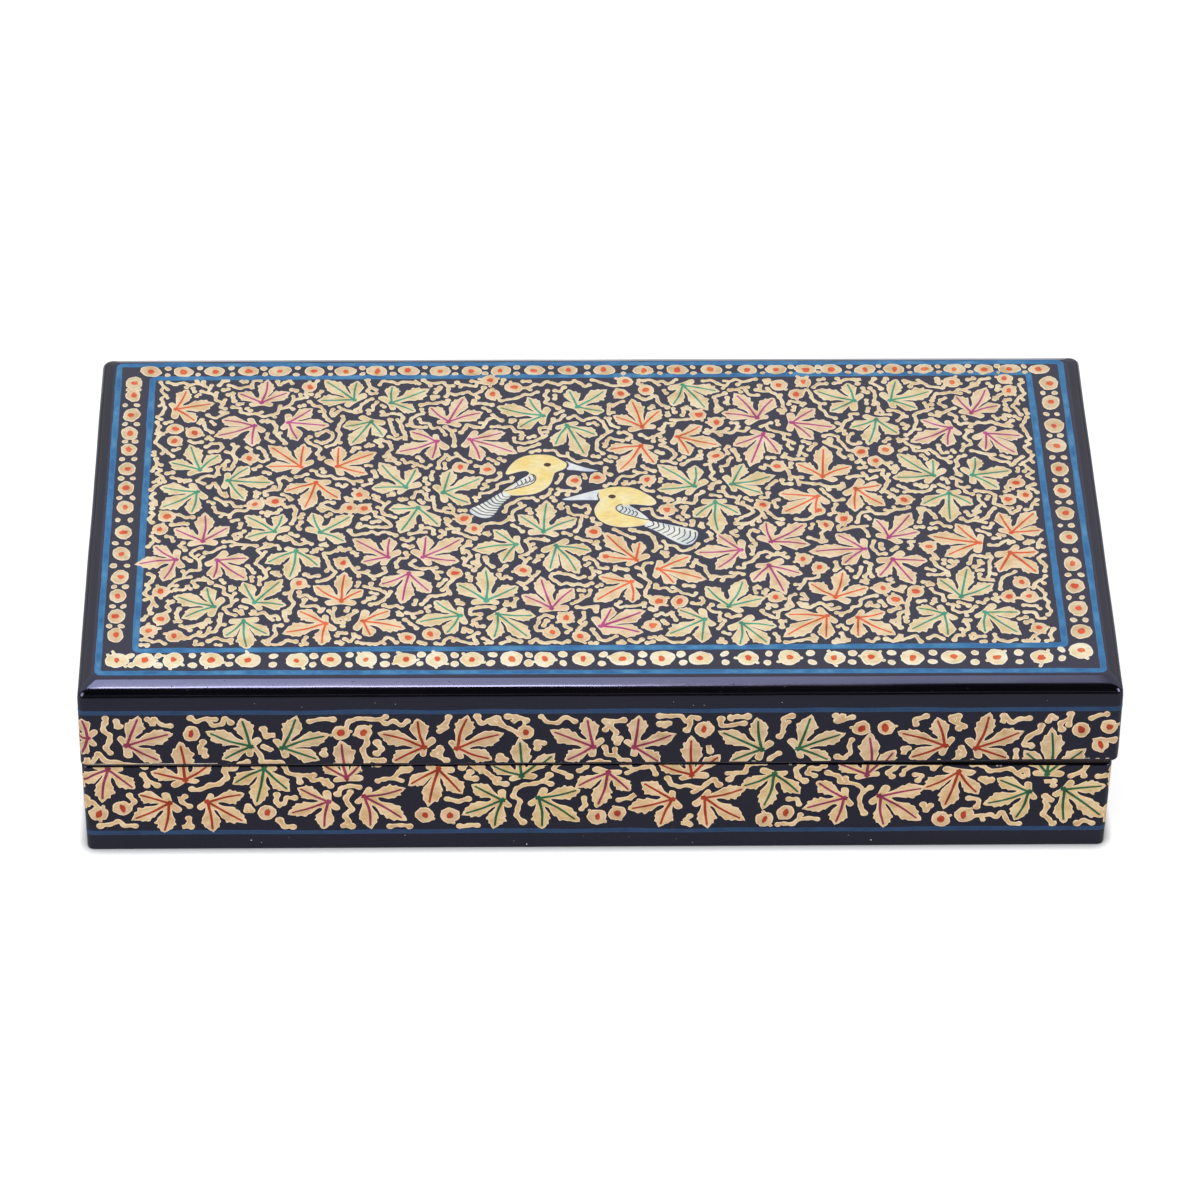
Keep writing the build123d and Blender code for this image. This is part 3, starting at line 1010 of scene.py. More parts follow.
def plate(coat, face, outline, relief, edge):
    """A flat dab of any outline with a rounded edge, over a thin first coat."""
    flat = sheet_of(coat, face)
    turns = zip(outline, outline[1:] + outline[:1])
    if sum(one.x * two.y - two.x * one.y for one, two in turns) < 0:
        outline = outline[::-1]
    rows, under = [], []
    for rank, place in enumerate(outline):
        along = (outline[(rank + 1) % len(outline)] - outline[rank - 1]).normalized()
        inward = Vector((-along.y, along.x))
        rim, inner = (place + inward * depth for depth in edge)
        outer = spot(flat, *(place - inward * plate_skirt), -sunk, 0.0)
        rows.append((outer, spot(flat, *rim, relief * plate_rim_rise, 0.5), spot(flat, *inner, relief)))
        under.append(spot(flat, *(place + inward * (edge[0] + under_edge)), relief * plate_rim_rise))
    weave(flat, rows, True, False)
    for ring in (under, [row[-1] for row in rows]):
        for corners in geometry.tessellate_polygon([[vert.co for vert in ring]]):
            flat.faces.new([ring[rank] for rank in corners])


def unsteady_hand(share):
    return 1 + hand.uniform(-share, share)


def zone_of(face):
    return "top" if face == "top" else "side"


painted_shapes = {face: [] for face in ("top", 0, 1, 2, 3)}
leaf_stems = {face: [] for face in painted_shapes}
flower_stems = {face: [] for face in painted_shapes}


def paint_leaf(colour, face, foot, tips):
    """Lays the leaf, then draws its veins from the foot, and keeps its outline and its stem."""
    zone = zone_of(face)
    outline = leaf_outline(foot, tips, unsteady_hand)
    passes = 2 if face == "top" else 1
    outline = [Vector(point) for point in soften([tuple(p) for p in outline], passes, True)]
    plate(zone + "_leaf_" + colour, face, outline, leaf_relief, leaf_edge)
    size = 1.0 if face == "top" else side_brush
    for tip in tips:
        away = tip - foot
        bow = Vector((-away.y, away.x)) * hand.uniform(-vein_bow, vein_bow)
        path = [
            (*(foot - away * 0.05), vein_foot * size),
            (*(foot + away * 0.12), vein_radius * 1.1 * size),
            (*(foot + away * 0.5 + bow), vein_radius * size),
            (*(foot + away * 0.96), vein_tip * size),
        ]
        stroke(zone + "_vein_" + colour, face, soften(path), vein_relief)
    painted_shapes[face].append(outline)
    leaf_stems[face].append((foot, heading_of(foot - tips[1])))


for colour, foot, tips in read_leaves(top_leaves, back_edge):
    paint_leaf(colour, "top", foot, tips)
for colour, foot, tips in read_leaves(front_leaves, side_top):
    paint_leaf(colour, 0, foot, tips)

# The back carries the front's leaves the other way round, and each end a stretch of them.
end_reach = 50.2
end_middles = {1: 35.5, 3: -34.0}
back_reach = 99.5
crowded_corner = (40, 20)  # past this the left end has no room for a leaf


def keeps_inside(points, reach):
    return all(abs(point.x) < reach for point in points)


for colour, foot, tips in read_leaves(front_leaves, side_top):
    mirrored = [Vector((-tip.x, tip.y)) for tip in tips]
    if keeps_inside(mirrored, back_reach):
        paint_leaf(colour, 2, Vector((-foot.x, foot.y)), mirrored[::-1])
    for turn, middle in end_middles.items():
        shift = Vector((middle, 0))
        moved = [foot - shift, *(tip - shift for tip in tips)]
        around_corner = turn == 3 and moved[0].x > crowded_corner[0] and moved[0].y > crowded_corner[1]
        if keeps_inside(moved, end_reach) and not around_corner:
            paint_leaf(colour, turn, moved[0], moved[1:])

for (body, zone), paints in leaf_paints.items():
    for colour, (base, deep, pale, vein) in paints.items():
        name = f"{body}_{zone}_{leaf_names[colour]}"
        wet = tuple(vein_stain * v + (1 - vein_stain) * b for v, b in zip(vein, base))
        cream = distemper(name + "_leaf_cream", base, deep, pale, paint_thin, rim_highlights[zone])
        hang(name + "_leaves", f"{zone}_leaf_{colour}", body, cream)
        light = tuple(min(v + vein_lighter, 255) for v in vein)
        dark = tuple(v * vein_darker for v in vein)
        ink = distemper(name + "_vein_colour", vein, dark, light, wet, vein)
        hang(name + "_veins", f"{zone}_vein_{colour}", body, ink)


# Rosettes. Rows of small oval flowers fill the border between the two blue lines, with pairs of
# dots between them, and single flowers lie among the leaves. Each has an orange red eye.
rosette_relief = 0.04
eye_relief = 0.056
front_border_size = (2.25, 2.05)
border_size = (2.15, 1.62)
left_column_size = (1.6, 2.0)
right_column_size = (1.92, 2.15)
field_size = (1.68, 1.68)
side_flower_size = (1.8, 1.95)
flower_room = 3.0  # how far an end's flowers keep from its corners
last_flower = 36  # past this the left end has no room for a flower
eye_sizes = {"top": (0.86, 0.90), "side": (0.83, 1.12)}
dots = {"front_border": (0.84, 1.26), "border": (0.64, 1.02)}  # radius and spread of a pair
ear_radius = 0.36
ear_foot = 0.75  # where an ear starts, as a share of its flower's half width
ear_reach = (0.05, 0.45)  # how far it stands out
tilt_most = 0.3
eye_stray = (0.2, 0.15)
upright_spread = 1.15  # how much wider a pair stands in an upright row
dot_stray = 0.25
row_stray = (0.1, 0.12)
front_row_height = -43.0
back_row_height = 45.0
left_column = -94.5
back_row = (
    10.5, 17, 23.5, 30.5, 37, 44, 50.5, 57, 63.5, 70, 76.5, 82.5, 89.5, 96.5, 104, 112, 119, 126,
    133.5, 139.5, 145.5, 151, 158, 164, 170, 176.5, 182.5, 188, 194,
)
front_row = (
    7.5, 13, 18.5, 26, 33, 42.5, 49, 56, 63.5, 69.5, 76.5, 84, 90.5, 98, 105.5, 113.5, 121, 130, 138,
    147, 154.1, 162.1, 170.1, 178.5, 187.3,
)
front_row_end = (195, -41.2)
left_row = (10, 14, 20, 26, 31, 37, 43, 49, 56.5, 63, 70, 75.5, 81.5, 87)
right_row = (10.8, 17.1, 24.4, 30.7, 38.2, 44.9, 51.8, 59.1, 66.9, 73.7, 80.3, 86.9)
right_column = 94.1
field_flowers = """
16.1 24.6  20 25.8  16.2 28.4  43.2 11.3  31.5 33.9  36.9 47.3  33.2 48.2  54.1 45.2  51.9 49.3
54.9 49.6  15.5 51.7  14.4 55.6  50.8 65.9  42.3 72  15.3 74.2  15.7 82.2  13.4 85.6  18.5 87.2
80.2 9.3  85.2 11.7  80.8 14  74.1 36.9  79.7 37.6  97.1 41.3  101.9 40.4  74.9 52.8  77 55.8
100.8 56.9  73.1 69.1  86.6 68.3  103.2 64.4  94.8 82.3  63.8 88  68.5 86.9  92 86.6  97.7 87.8
108.1 9.9  112.4 12.6  107.1 13.8  122.8 20.6  126.4 23  126 33.5  139.9 11.2  144.9 10.2
143.3 14.1  138.5 36.9  112 41  134.8 49  115.7 50.2  151 53.1  147.3 55.1  145.9 50.5  142.3 65.2
145.4 67.9  113.1 77.5  117.3 77.7  136.3 76.5  111.8 84.8  175.6 10.4  186.7 9.4  187.3 13.1
155.5 32.4  160.7 31.9  158.3 35.4  163.5 47.4  186.5 42.3  184.5 47.4  187.9 46.2  167.5 61.6
157.4 74  164 75  159.7 77.5  185.1 72.5  182.2 76.6  186.4 76.7  187.5 85.9
"""
side_flowers = """
21.9 12.5  50.9 12.4  55.2 12.2  86.8 12.5  121.6 11.9  152.2 11.8  157.1 11.7  195.2 12.5
200.6 11.7  199.2 16.4  7.9 33  3.2 34.5  36.3 34.4  67.4 35.3  72.4 35.4  101.4 36  105.4 35
134.6 36.9  138.7 35.1  169.6 37.1  174.2 35.9
"""


def oval(centre, size, tilt, wobble, steps=22):
    """An uneven oval, as a brush turned once on the spot leaves it."""
    lobes = hand.choice((2, 3, 5))
    start = hand.uniform(0, math.tau)
    edge = []
    for step in range(steps):
        angle = math.tau * step / steps
        swell = 1 + wobble * math.sin(lobes * angle + start) / 2 + hand.uniform(-wobble, wobble)
        across, up = size[0] * swell * math.cos(angle), size[1] * swell * math.sin(angle)
        edge.append(centre + Vector((across, up)) @ Matrix.Rotation(tilt, 2))
    return edge


def rosette(coat, face, centre, size, ears=0, wobble=0.06):
    """A flower with its eye, a little off its middle, and ears where the brush left it."""
    tilt = hand.uniform(-tilt_most, tilt_most)
    size = (size[0] * unsteady_hand(0.1), size[1] * unsteady_hand(0.08))
    outline = oval(centre, size, tilt, wobble)
    patch(coat, face, centre, outline, rosette_relief)
    painted_shapes[face].append(outline)
    flower_stems[face].append((centre, size[0]))
    first_ear = hand.uniform(0, math.tau)
    for rank in range(ears):
        angle = first_ear + math.tau * rank / ears * unsteady_hand(0.25)
        foot = from_polar(centre, angle, size[0] * ear_foot)
        lean = hand.uniform(-tilt_most, tilt_most)
        tip = from_polar(centre, angle + lean, size[0] + hand.uniform(*ear_reach))
        stroke(coat, face, [(*foot, ear_radius), (*tip, ear_radius * unsteady_hand(0.15))], rosette_relief)
    eye = centre + Vector([hand.uniform(-most, most) for most in eye_stray])
    wide, tall = eye_sizes[zone_of(face)]
    seen = (wide * unsteady_hand(0.22), tall * unsteady_hand(0.15))
    patch(zone_of(face) + "_eye", face, eye, oval(eye, seen, tilt, 0.12, 12), eye_relief)


def dot_pair(coat, first, second, upright):
    """Two dots side by side across the border, midway between two of its flowers."""
    radius, spread = dots[coat]
    middle = (first + second) / 2
    offset = Vector((spread * upright_spread, 0)) if upright else Vector((0, spread))
    for side in (-1, 1):
        place = middle + offset * side * unsteady_hand(0.12)
        place += Vector((hand.uniform(-dot_stray, dot_stray), 0))
        size = (radius * unsteady_hand(0.2), radius * unsteady_hand(0.2))
        patch(coat, "top", place, oval(place, size, hand.uniform(0, 3), 0.06, 12), rosette_relief)


def border_row(coat, places, size, upright, ears=0):
    for place in places:
        stray = Vector([hand.uniform(-most, most) for most in row_stray])
        rosette(coat, "top", place + stray, size, hand.randint(0, ears))
    for first, second in zip(places, places[1:]):
        dot_pair(coat, first, second, upright)


def read_places(lines, down_from):
    numbers = [float(number) for number in lines.split()]
    for a, b in zip(numbers[::2], numbers[1::2]):
        yield Vector((a - left_edge, down_from - b))


front_places = [(a, front_row_height) for a in front_row] + [front_row_end]
border_row(
    "front_border", [Vector((a - left_edge, up)) for a, up in front_places], front_border_size, False, 3,
)
border_row("border", [Vector((a - left_edge, back_row_height)) for a in back_row], border_size, False)
border_row("border", [Vector((left_column, back_edge - b)) for b in left_row], left_column_size, True)
border_row("border", [Vector((right_column, back_edge - b)) for b in right_row], right_column_size, True)
for place in read_places(field_flowers, back_edge):
    rosette("flower", "top", place, field_size, hand.randint(1, 4))
for place in read_places(side_flowers, side_top):
    rosette("side_flower", 0, place, side_flower_size, hand.randint(0, 2))
    rosette("side_flower", 2, Vector((-place.x, place.y)), side_flower_size, hand.randint(0, 2))
    for turn, middle in end_middles.items():
        across = place.x - middle
        if abs(across) < end_reach - flower_room and not (turn == 3 and across > last_flower):
            rosette("side_flower", turn, Vector((across, place.y)), side_flower_size)

border_cream = distemper(
    "border_cream", (228, 202, 162), (212, 180, 132), (238, 218, 184), paint_thin, rim_highlights["top"],
)
front_border_cream = distemper(
    "front_border_cream", (249, 230, 188), (236, 208, 154), (255, 244, 214), paint_thin, (255, 249, 234),
)
flower_cream = distemper(
    "flower_cream", (238, 206, 164), (226, 186, 138), (246, 218, 182), paint_thin, rim_highlights["top"],
)
side_flower_cream = distemper(
    "side_flower_cream", (220, 186, 144), (204, 164, 120), (232, 202, 164), paint_thin, rim_highlights["side"],
)
eye_red = distemper(
    "eye_orange_red", (228, 92, 44), (208, 72, 32), (238, 124, 66), (236, 190, 140), (222, 84, 40),
)
side_eye_red = distemper(
    "side_eye_red", (174, 54, 22), (150, 42, 18), (196, 76, 38), (200, 148, 104), (170, 50, 20),
)
hang("lid_border_flowers", "border", "lid", border_cream)
hang("lid_front_border_flowers", "front_border", "lid", front_border_cream)
hang("lid_field_flowers", "flower", "lid", flower_cream)
hang("lid_flower_eyes", "top_eye", "lid", eye_red)
for body in ("lid", "tray"):
    hang(body + "_side_flowers", "side_flower", body, side_flower_cream)
    hang(body + "_side_flower_eyes", "side_eye", body, side_eye_red)


# Birds. A pair of long-billed birds with crests, facing each other, is the common figure of these
# boxes. They are laid in yellow and white, with a thin dark edge, and drawn over in thin black.
bird_relief = 0.045
wing_relief = 0.054
ink_relief = 0.064
plate_edge = (0.02, 0.16)  # how far a plate's pale rim and its full body lie inside its outline
bird_eye_size = (0.90, 0.76)
ink_width = 0.21
inked_wing = 8  # how many points of the wing's outline, and then of the bill's, are inked over
inked_bill = 5
# Each bird, measured from its eye, rightward and away: its body, bill, wing and tail, then its
# drawing, as the two ends and the bulge of each bar of the wing and of the tail.
birds = (
    {
        "eye": (-9.7, 15.0),
        "body": (
            (3.1, 1.2), (2.2, 2.0), (1.2, 2.8), (-0.4, 3.2), (-2.4, 3.2), (-4.3, 2.9), (-6.0, 1.9),
            (-7.2, 0.4), (-8.0, -1.1), (-8.5, -2.5), (-8.2, -3.1), (-6.3, -2.3), (-5.0, -1.8),
            (-4.0, -1.9), (-3.5, -2.6), (-4.7, -4.0), (-7.0, -6.0), (-8.8, -7.7), (-9.2, -8.4),
            (-7.5, -9.5), (-4.4, -9.3), (-2.8, -9.0), (-1.2, -8.1), (0.1, -6.8), (0.9, -5.1),
            (1.2, -3.3), (1.5, -2.3), (2.3, -1.9), (3.3, -1.4), (3.9, -0.6), (3.9, 0.6),
        ),
        "bill": (
            (3.5, 1.5), (5.0, 0.5), (6.9, -0.5), (8.9, -1.3), (10.6, -1.9), (8.8, -2.1), (6.9, -2.0),
            (5.3, -1.6), (3.6, -1.6), (4.6, 0.0),
        ),
        "wing": (
            (-3.3, -2.9), (-2.6, -3.2), (-2.3, -4.3), (-2.8, -5.5), (-3.8, -6.3), (-5.4, -6.9),
            (-7.0, -7.5), (-8.6, -8.1), (-7.6, -6.8), (-6.3, -5.4), (-5.0, -4.0),
        ),
        "tail": (
            (-8.6, -7.9), (-10.5, -9.4), (-12.1, -11.0), (-13.8, -12.3), (-15.6, -13.4), (-15.8, -14.3),
            (-15.0, -15.3), (-13.8, -16.1), (-12.5, -16.4), (-11.2, -15.9), (-10.4, -14.5),
            (-9.6, -12.6), (-8.6, -11.1), (-7.2, -9.6),
        ),
        "wing_bars": ((-2.9, -3.3), (-3.4, -5.3), (-6.2, -5.5), (-6.6, -7.0), (0.55, -0.15)),
        "tail_bars": ((-9.3, -8.6), (-7.7, -9.9), (-15.3, -13.6), (-10.9, -15.6), (-0.5, -0.75)),
    },
    {
        "eye": (3.2, 5.1),
        "body": (
            (-2.4, 2.1), (-1.7, 2.4), (-0.3, 2.9), (1.6, 3.1), (3.5, 2.9), (5.1, 2.3), (6.7, 1.0),
            (8.3, -0.4), (8.9, -1.7), (8.7, -2.4), (7.6, -2.8), (6.3, -2.6), (5.0, -2.4), (3.8, -2.3),
            (3.1, -2.5), (4.7, -3.8), (6.2, -5.8), (7.3, -6.9), (7.4, -8.0), (6.0, -8.8), (3.9, -9.2),
            (2.0, -9.4), (0.1, -9.0), (-1.5, -8.3), (-2.9, -7.0), (-3.5, -5.5), (-3.7, -3.8),
            (-3.0, -2.1), (-2.3, -0.9), (-2.7, -0.2), (-2.7, 1.2),
        ),
        "bill": (
            (-1.8, 2.5), (-3.6, 1.9), (-5.5, 1.2), (-8.1, 0.1), (-10.5, -0.8), (-8.7, -1.1),
            (-6.2, -1.0), (-3.9, -1.0), (-2.6, -1.1), (-3.2, 0.6),
        ),
        "wing": (
            (1.8, -2.4), (1.0, -2.8), (0.6, -3.6), (1.3, -4.8), (2.7, -5.6), (4.3, -6.2), (6.0, -6.9),
            (7.4, -7.1), (6.6, -6.0), (5.0, -4.1), (3.4, -2.7),
        ),
        "tail": (
            (7.0, -7.2), (9.6, -8.1), (12.2, -8.9), (14.7, -9.6), (16.7, -10.4), (17.0, -11.3),
            (16.5, -13.1), (15.7, -14.5), (14.2, -14.9), (12.7, -14.1), (10.8, -12.6), (8.9, -10.8),
            (7.1, -9.6), (6.0, -8.9),
        ),
        "wing_bars": ((1.9, -2.9), (1.5, -4.6), (4.6, -4.6), (4.6, -6.0), (0.5, 0.1)),
        "tail_bars": ((7.9, -7.6), (7.0, -9.3), (16.4, -11.0), (14.6, -14.4), (0.85, -0.35)),
    },
)
bar_counts = {"wing_bars": 5, "tail_bars": 9}


def draw_bird(bird):
    """One bird: its dabs of colour, then the thin lines that draw its wing, tail and bill."""
    eye = Vector(bird["eye"])

    def outlined(part):
        return [eye + Vector(point) for point in soften(list(bird[part]), 2, True)]

    def ink(points, width):
        path = soften([(*point, width) for point in points])
        stroke("bird_ink", "top", [(eye.x + a, eye.y + b, r) for a, b, r in path], ink_relief)

    plate("bird_bill", "top", outlined("bill"), bird_relief, plate_edge)
    plate("bird_yellow", "top", outlined("body"), bird_relief, plate_edge)
    plate("bird_white", "top", outlined("tail"), wing_relief, plate_edge)
    plate("bird_white", "top", outlined("wing"), wing_relief, plate_edge)
    ink(bird["wing"][:inked_wing], ink_width * 0.9)
    ink(bird["bill"][:inked_bill], ink_width * 0.5)
    for part, count in bar_counts.items():
        *ends, bulge = (Vector(point) for point in bird[part])
        for bar in range(count):
            share = bar / (count - 1)
            upper, lower = ends[0].lerp(ends[2], share), ends[1].lerp(ends[3], share)
            ink([upper, (upper + lower) / 2 + bulge, lower], ink_width * unsteady_hand(0.15))
    patch("bird_eye", "top", eye, oval(eye, bird_eye_size, 0.0, 0.03, 16), ink_relief)
    for part in ("body", "tail", "bill"):
        painted_shapes["top"].append(outlined(part))


for bird in birds:
    draw_bird(bird)
bird_edge = (96, 92, 124)
# Each coat: its piece, the coat, the finish, and its base, deep, pale, thin and rim colours.
bird_coats = (
    (
        "lid_bird_bills", "bird_bill", "bird_bill_grey",
        (238, 240, 238), (210, 216, 226), (248, 249, 246), bird_edge, (178, 186, 206),
    ),
    (
        "lid_bird_bodies", "bird_yellow", "bird_yellow",
        (254, 230, 156), (251, 220, 136), (255, 239, 184), bird_edge, (246, 232, 200),
    ),
    (
        "lid_bird_wings_and_tails", "bird_white", "bird_white",
        (240, 240, 230), (214, 222, 224), (250, 248, 240), bird_edge, (176, 188, 204),
    ),
    (
        "lid_bird_drawing", "bird_ink", "bird_ink",
        (26, 26, 38), (18, 18, 28), (44, 46, 62), (60, 60, 76), (26, 26, 38),
    ),
    (
        "lid_bird_eyes", "bird_eye", "bird_eye_brown",
        (56, 32, 24), (40, 22, 18), (80, 46, 32), (60, 36, 28), (56, 32, 24),
    ),
)
for name, coat, paint, *colours in bird_coats:
    hang(name, coat, "lid", distemper(paint, *colours))


# Tendrils. What ground is left between leaves and flowers is filled with crooked tendrils, drawn
# in short strokes with a knob at each turn, and what is too small for one may get a dot.
tendril_relief = 0.032
cell = 0.25
tendrils = {
    "top": {"radius": 0.40, "gap": 0.35, "step": (1.0, 2.0), "spur": (0.8, 1.4), "least": 1},
    "side": {"radius": 0.54, "gap": 0.52, "step": (1.3, 2.5), "spur": (1.1, 1.9), "least": 2},
}
field = (-89.5, 89.2, -38.6, 42.2)
side_rise = (5.9, 36.2)
corner_clear = 0.55  # how far a side's tendrils keep from the middle of its rounded corners
end_knob = 1.42
elbow_knob = 1.22
thin_stroke = 0.80
tries = 26
swing = (14, 58)  # how many degrees a step turns off its course
swing_more = {False: 3.4, True: 1.0}  # and how many more with each try, for a free and a steady one
shorter = 0.012  # how much shorter a step gets with each try, as a share
turning = 0.45  # how far the course follows each step
spur_share = 0.6
spur_turn = (0.9, 1.6)
stroke_bow = 0.16
spur_bow = 0.1
leaf_tendril = (7, 14)  # the fewest and most steps of a tendril from a leaf
flower_tendril = (5, 12)
free_tendril = (6, 15)
dot_share = 0.35  # how many of the small bare spots get a dot
edge_inset = 0.3  # tendrils along the field's left and right edges keep this far inside them
edge_stray = 0.5
edge_ends = (0.6, 1.5)  # how far they keep from its back and from its front edge
edge_gaps = (0.6, 1.2)
edge_steps = 9
spur_taper = (0.95, 0.9)


class BareGround:
    """Where a face's lacquer is bare enough for the middle of a stroke, in small square cells."""

    def __init__(self, left, right, low, high):
        self.left, self.low = left, low
        self.columns = int((right - left) / cell)
        self.rows = [bytearray(self.columns) for _ in range(int((high - low) / cell))]

    def is_bare(self, place):
        column, row = int((place.x - self.left) / cell), int((place.y - self.low) / cell)
        if not (0 <= column < self.columns and 0 <= row < len(self.rows)) or place.x < self.left:
            return False
        return place.y >= self.low and not self.rows[row][column]

    def cover_span(self, row, first, last):
        first, last = max(int(first), 0), min(int(last), self.columns)
        if 0 <= row < len(self.rows) and last > first:
            self.rows[row][first:last] = b"\1" * (last - first)

    def cover_round(self, place, radius):
        middle, across, reach = (place.y - self.low) / cell, (place.x - self.left) / cell, radius / cell
        for row in range(int(middle - reach), int(middle + reach) + 1):
            half = math.sqrt(max(reach**2 - (row + 0.5 - middle) ** 2, 0))
            if half:
                self.cover_span(row, across - half, across + half + 1)

    def cover_line(self, start, end, radius):
        steps = max(int((end - start).length / cell), 1)
        for step in range(steps + 1):
            self.cover_round(start.lerp(end, step / steps), radius)

    def cover_shape(self, outline, margin):
        rows = {}
        for start, end in zip(outline, outline[1:] + outline[:1]):
            self.cover_line(start, end, margin)
            low, high = sorted((start.y, end.y))
            for row in range(int((low - self.low) / cell) - 1, int((high - self.low) / cell) + 2):
                level = self.low + (row + 0.5) * cell
                if low <= level < high:
                    share = (level - start.y) / (end.y - start.y)
                    rows.setdefault(row, []).append(start.x + (end.x - start.x) * share)
        for row, crossings in rows.items():
            crossings.sort()
            for first, last in zip(crossings[::2], crossings[1::2]):
                self.cover_span(row, (first - self.left) / cell, (last - self.left) / cell)

    def way_is_open(self, start, end, skip):
        length = (end - start).length
        steps = max(int(length / cell), 1)
        tests = [step / steps for step in range(steps + 1) if step / steps * length >= skip]
        return bool(tests) and all(self.is_bare(start.lerp(end, share)) for share in tests)


def heading_vector(angle):
    return Vector((math.cos(angle), math.sin(angle)))


def grow(ground, brush, start, heading, most, skip, steady=False):
    """A tendril from here and its spurs: short steps that swing to either side of a slowly turning
    course, and turn sharply only where they must. Its last two steps stay open to it."""
    joint = wide = 2 * brush["radius"] + brush["gap"]
    path, spurs, turned = [start], [], hand.choice((-1, 1))
    for step in range(most):
        for effort in range(tries):
            side = -turned if hand.random() < 0.7 else turned
            way = heading + side * math.radians(hand.uniform(*swing) + effort * swing_more[steady])
            end = path[-1] + heading_vector(way) * hand.uniform(*brush["step"]) * (1 - shorter * effort)
            if ground.way_is_open(path[-1], end, joint if step else skip):
                break
        else:
            break
        if step and hand.random() < spur_share:
            aim = heading_vector(way - side * hand.uniform(*spur_turn))
            tip = path[-1] + aim * hand.uniform(*brush["spur"])
            if ground.is_bare(tip):
                spurs.append((path[-1], tip))
        if step > 1:
            ground.cover_line(path[-3], path[-2], wide)
        path.append(end)
        turned = side
        if not steady:
            heading += turning * (way - heading)
    for one, two in [*zip(path[-3:], path[-2:]), *spurs]:
        ground.cover_line(one, two, wide)
    return path, spurs


def draw_tendril(coat, face, brush, path, spurs):
    """Strokes a tendril with knobs at its ends and elbows, and the spurs that stand out of it."""
    radius = brush["radius"] * unsteady_hand(0.08)
    points = []
    for rank, place in enumerate(path):
        knob = end_knob if rank in (0, len(path) - 1) else elbow_knob
        points.append((*place, radius * knob * unsteady_hand(0.16)))
        if rank < len(path) - 1:
            bow = heading_vector(hand.uniform(0, math.tau)) * stroke_bow
            middle = (place + path[rank + 1]) / 2 + bow
            points.append((*middle, radius * thin_stroke * unsteady_hand(0.14)))
    stroke(coat, face, soften(points, 1 if face == "top" else 2), tendril_relief)
    for foot, tip in spurs:
        middle = (foot + tip) / 2 + heading_vector(hand.uniform(0, math.tau)) * spur_bow
        knob = radius * elbow_knob * unsteady_hand(0.2)
        spur = [(*foot, radius * spur_taper[0]), (*middle, radius * spur_taper[1]), (*tip, knob)]
        stroke(coat, face, soften(spur, 1), tendril_relief)


def fill_face(face, coat, brush, region):
    """Covers what is painted, then grows tendrils from leaves and flowers, then wherever fits."""
    ground = BareGround(*region)
    for outline in painted_shapes[face]:
        ground.cover_shape(outline, brush["radius"] + brush["gap"])
    left, right, low, high = region

    def try_tendril(start, heading, most, skip, steady=False, least=1):
        path, spurs = grow(ground, brush, start, heading, most, skip, steady)
        if len(path) > least:
            draw_tendril(coat, face, brush, path, spurs)
        return path

    for edge in (left + edge_inset, right - edge_inset) if face == "top" else ():
        height = high - edge_ends[0]
        while height > low + edge_ends[1]:
            start = Vector((edge - math.copysign(hand.uniform(0, edge_stray), edge), height))
            path = [start]
            if ground.is_bare(start):
                path = try_tendril(start, -math.pi / 2, edge_steps, 0.0, True)
            height = min(path[-1].y, height) - hand.uniform(*edge_gaps)
    for foot, heading in leaf_stems[face]:
        start = foot + heading_vector(heading) * 0.5
        try_tendril(start, heading, hand.randint(*leaf_tendril), 1.4 + brush["radius"] + brush["gap"])
    for centre, reach in flower_stems[face]:
        if not (left < centre.x < right and low < centre.y < high):
            continue
        heading = hand.uniform(0, math.tau)
        start = centre + heading_vector(heading) * reach * 0.7
        skip = reach * 0.3 + brush["radius"] + brush["gap"] + 0.2
        try_tendril(start, heading, hand.randint(*flower_tendril), skip)
    columns, rows = range(0, ground.columns, 2), range(0, len(ground.rows), 2)
    places = [(column, row) for column in columns for row in rows]
    hand.shuffle(places)
    for column, row in places:
        start = Vector((left + (column + 0.5) * cell, low + (row + 0.5) * cell))
        for _ in range(3):
            if ground.is_bare(start):
                heading = hand.uniform(0, math.tau)
                try_tendril(start, heading, hand.randint(*free_tendril), 0.0, least=brush["least"])
        if ground.is_bare(start) and hand.random() < dot_share:
            size = brush["radius"] * end_knob * unsteady_hand(0.15)
            patch(coat, face, start, oval(start, (size, size * 0.9), 0.0, 0.08, 12), tendril_relief)
            ground.cover_round(start, brush["radius"] * 2 + brush["gap"])


def side_region(turn):
    half = side_halves(lid_wall, turn, lid_lip, 0.0)[0] - corner + corner * math.pi / 4 - corner_clear
    return (-half, half, *side_rise)


fill_face("top", "top_tendril", tendrils["top"], field)
for turn in range(4):
    fill_face(turn, "side_tendril", tendrils["side"], side_region(turn))
hang("lid_top_tendrils", "top_tendril", "lid", distemper(
    "top_tendril_cream", (238, 212, 168), (224, 190, 140), (248, 228, 190), paint_thin, rim_highlights["top"],
))
hang("lid_side_tendrils", "side_tendril", "lid", distemper(
    "lid_side_tendril_cream", (218, 186, 144), (200, 162, 116), (230, 204, 166), paint_thin, rim_highlights["side"],
))
# The tray's cream is lighter than the lid's: a painted brightening for the weaker light on the tray's walls.
hang("tray_side_tendrils", "side_tendril", "tray", distemper(
    "tray_side_tendril_cream", (228, 194, 146), (208, 168, 116), (240, 210, 170), paint_thin, rim_highlights["side"],
))
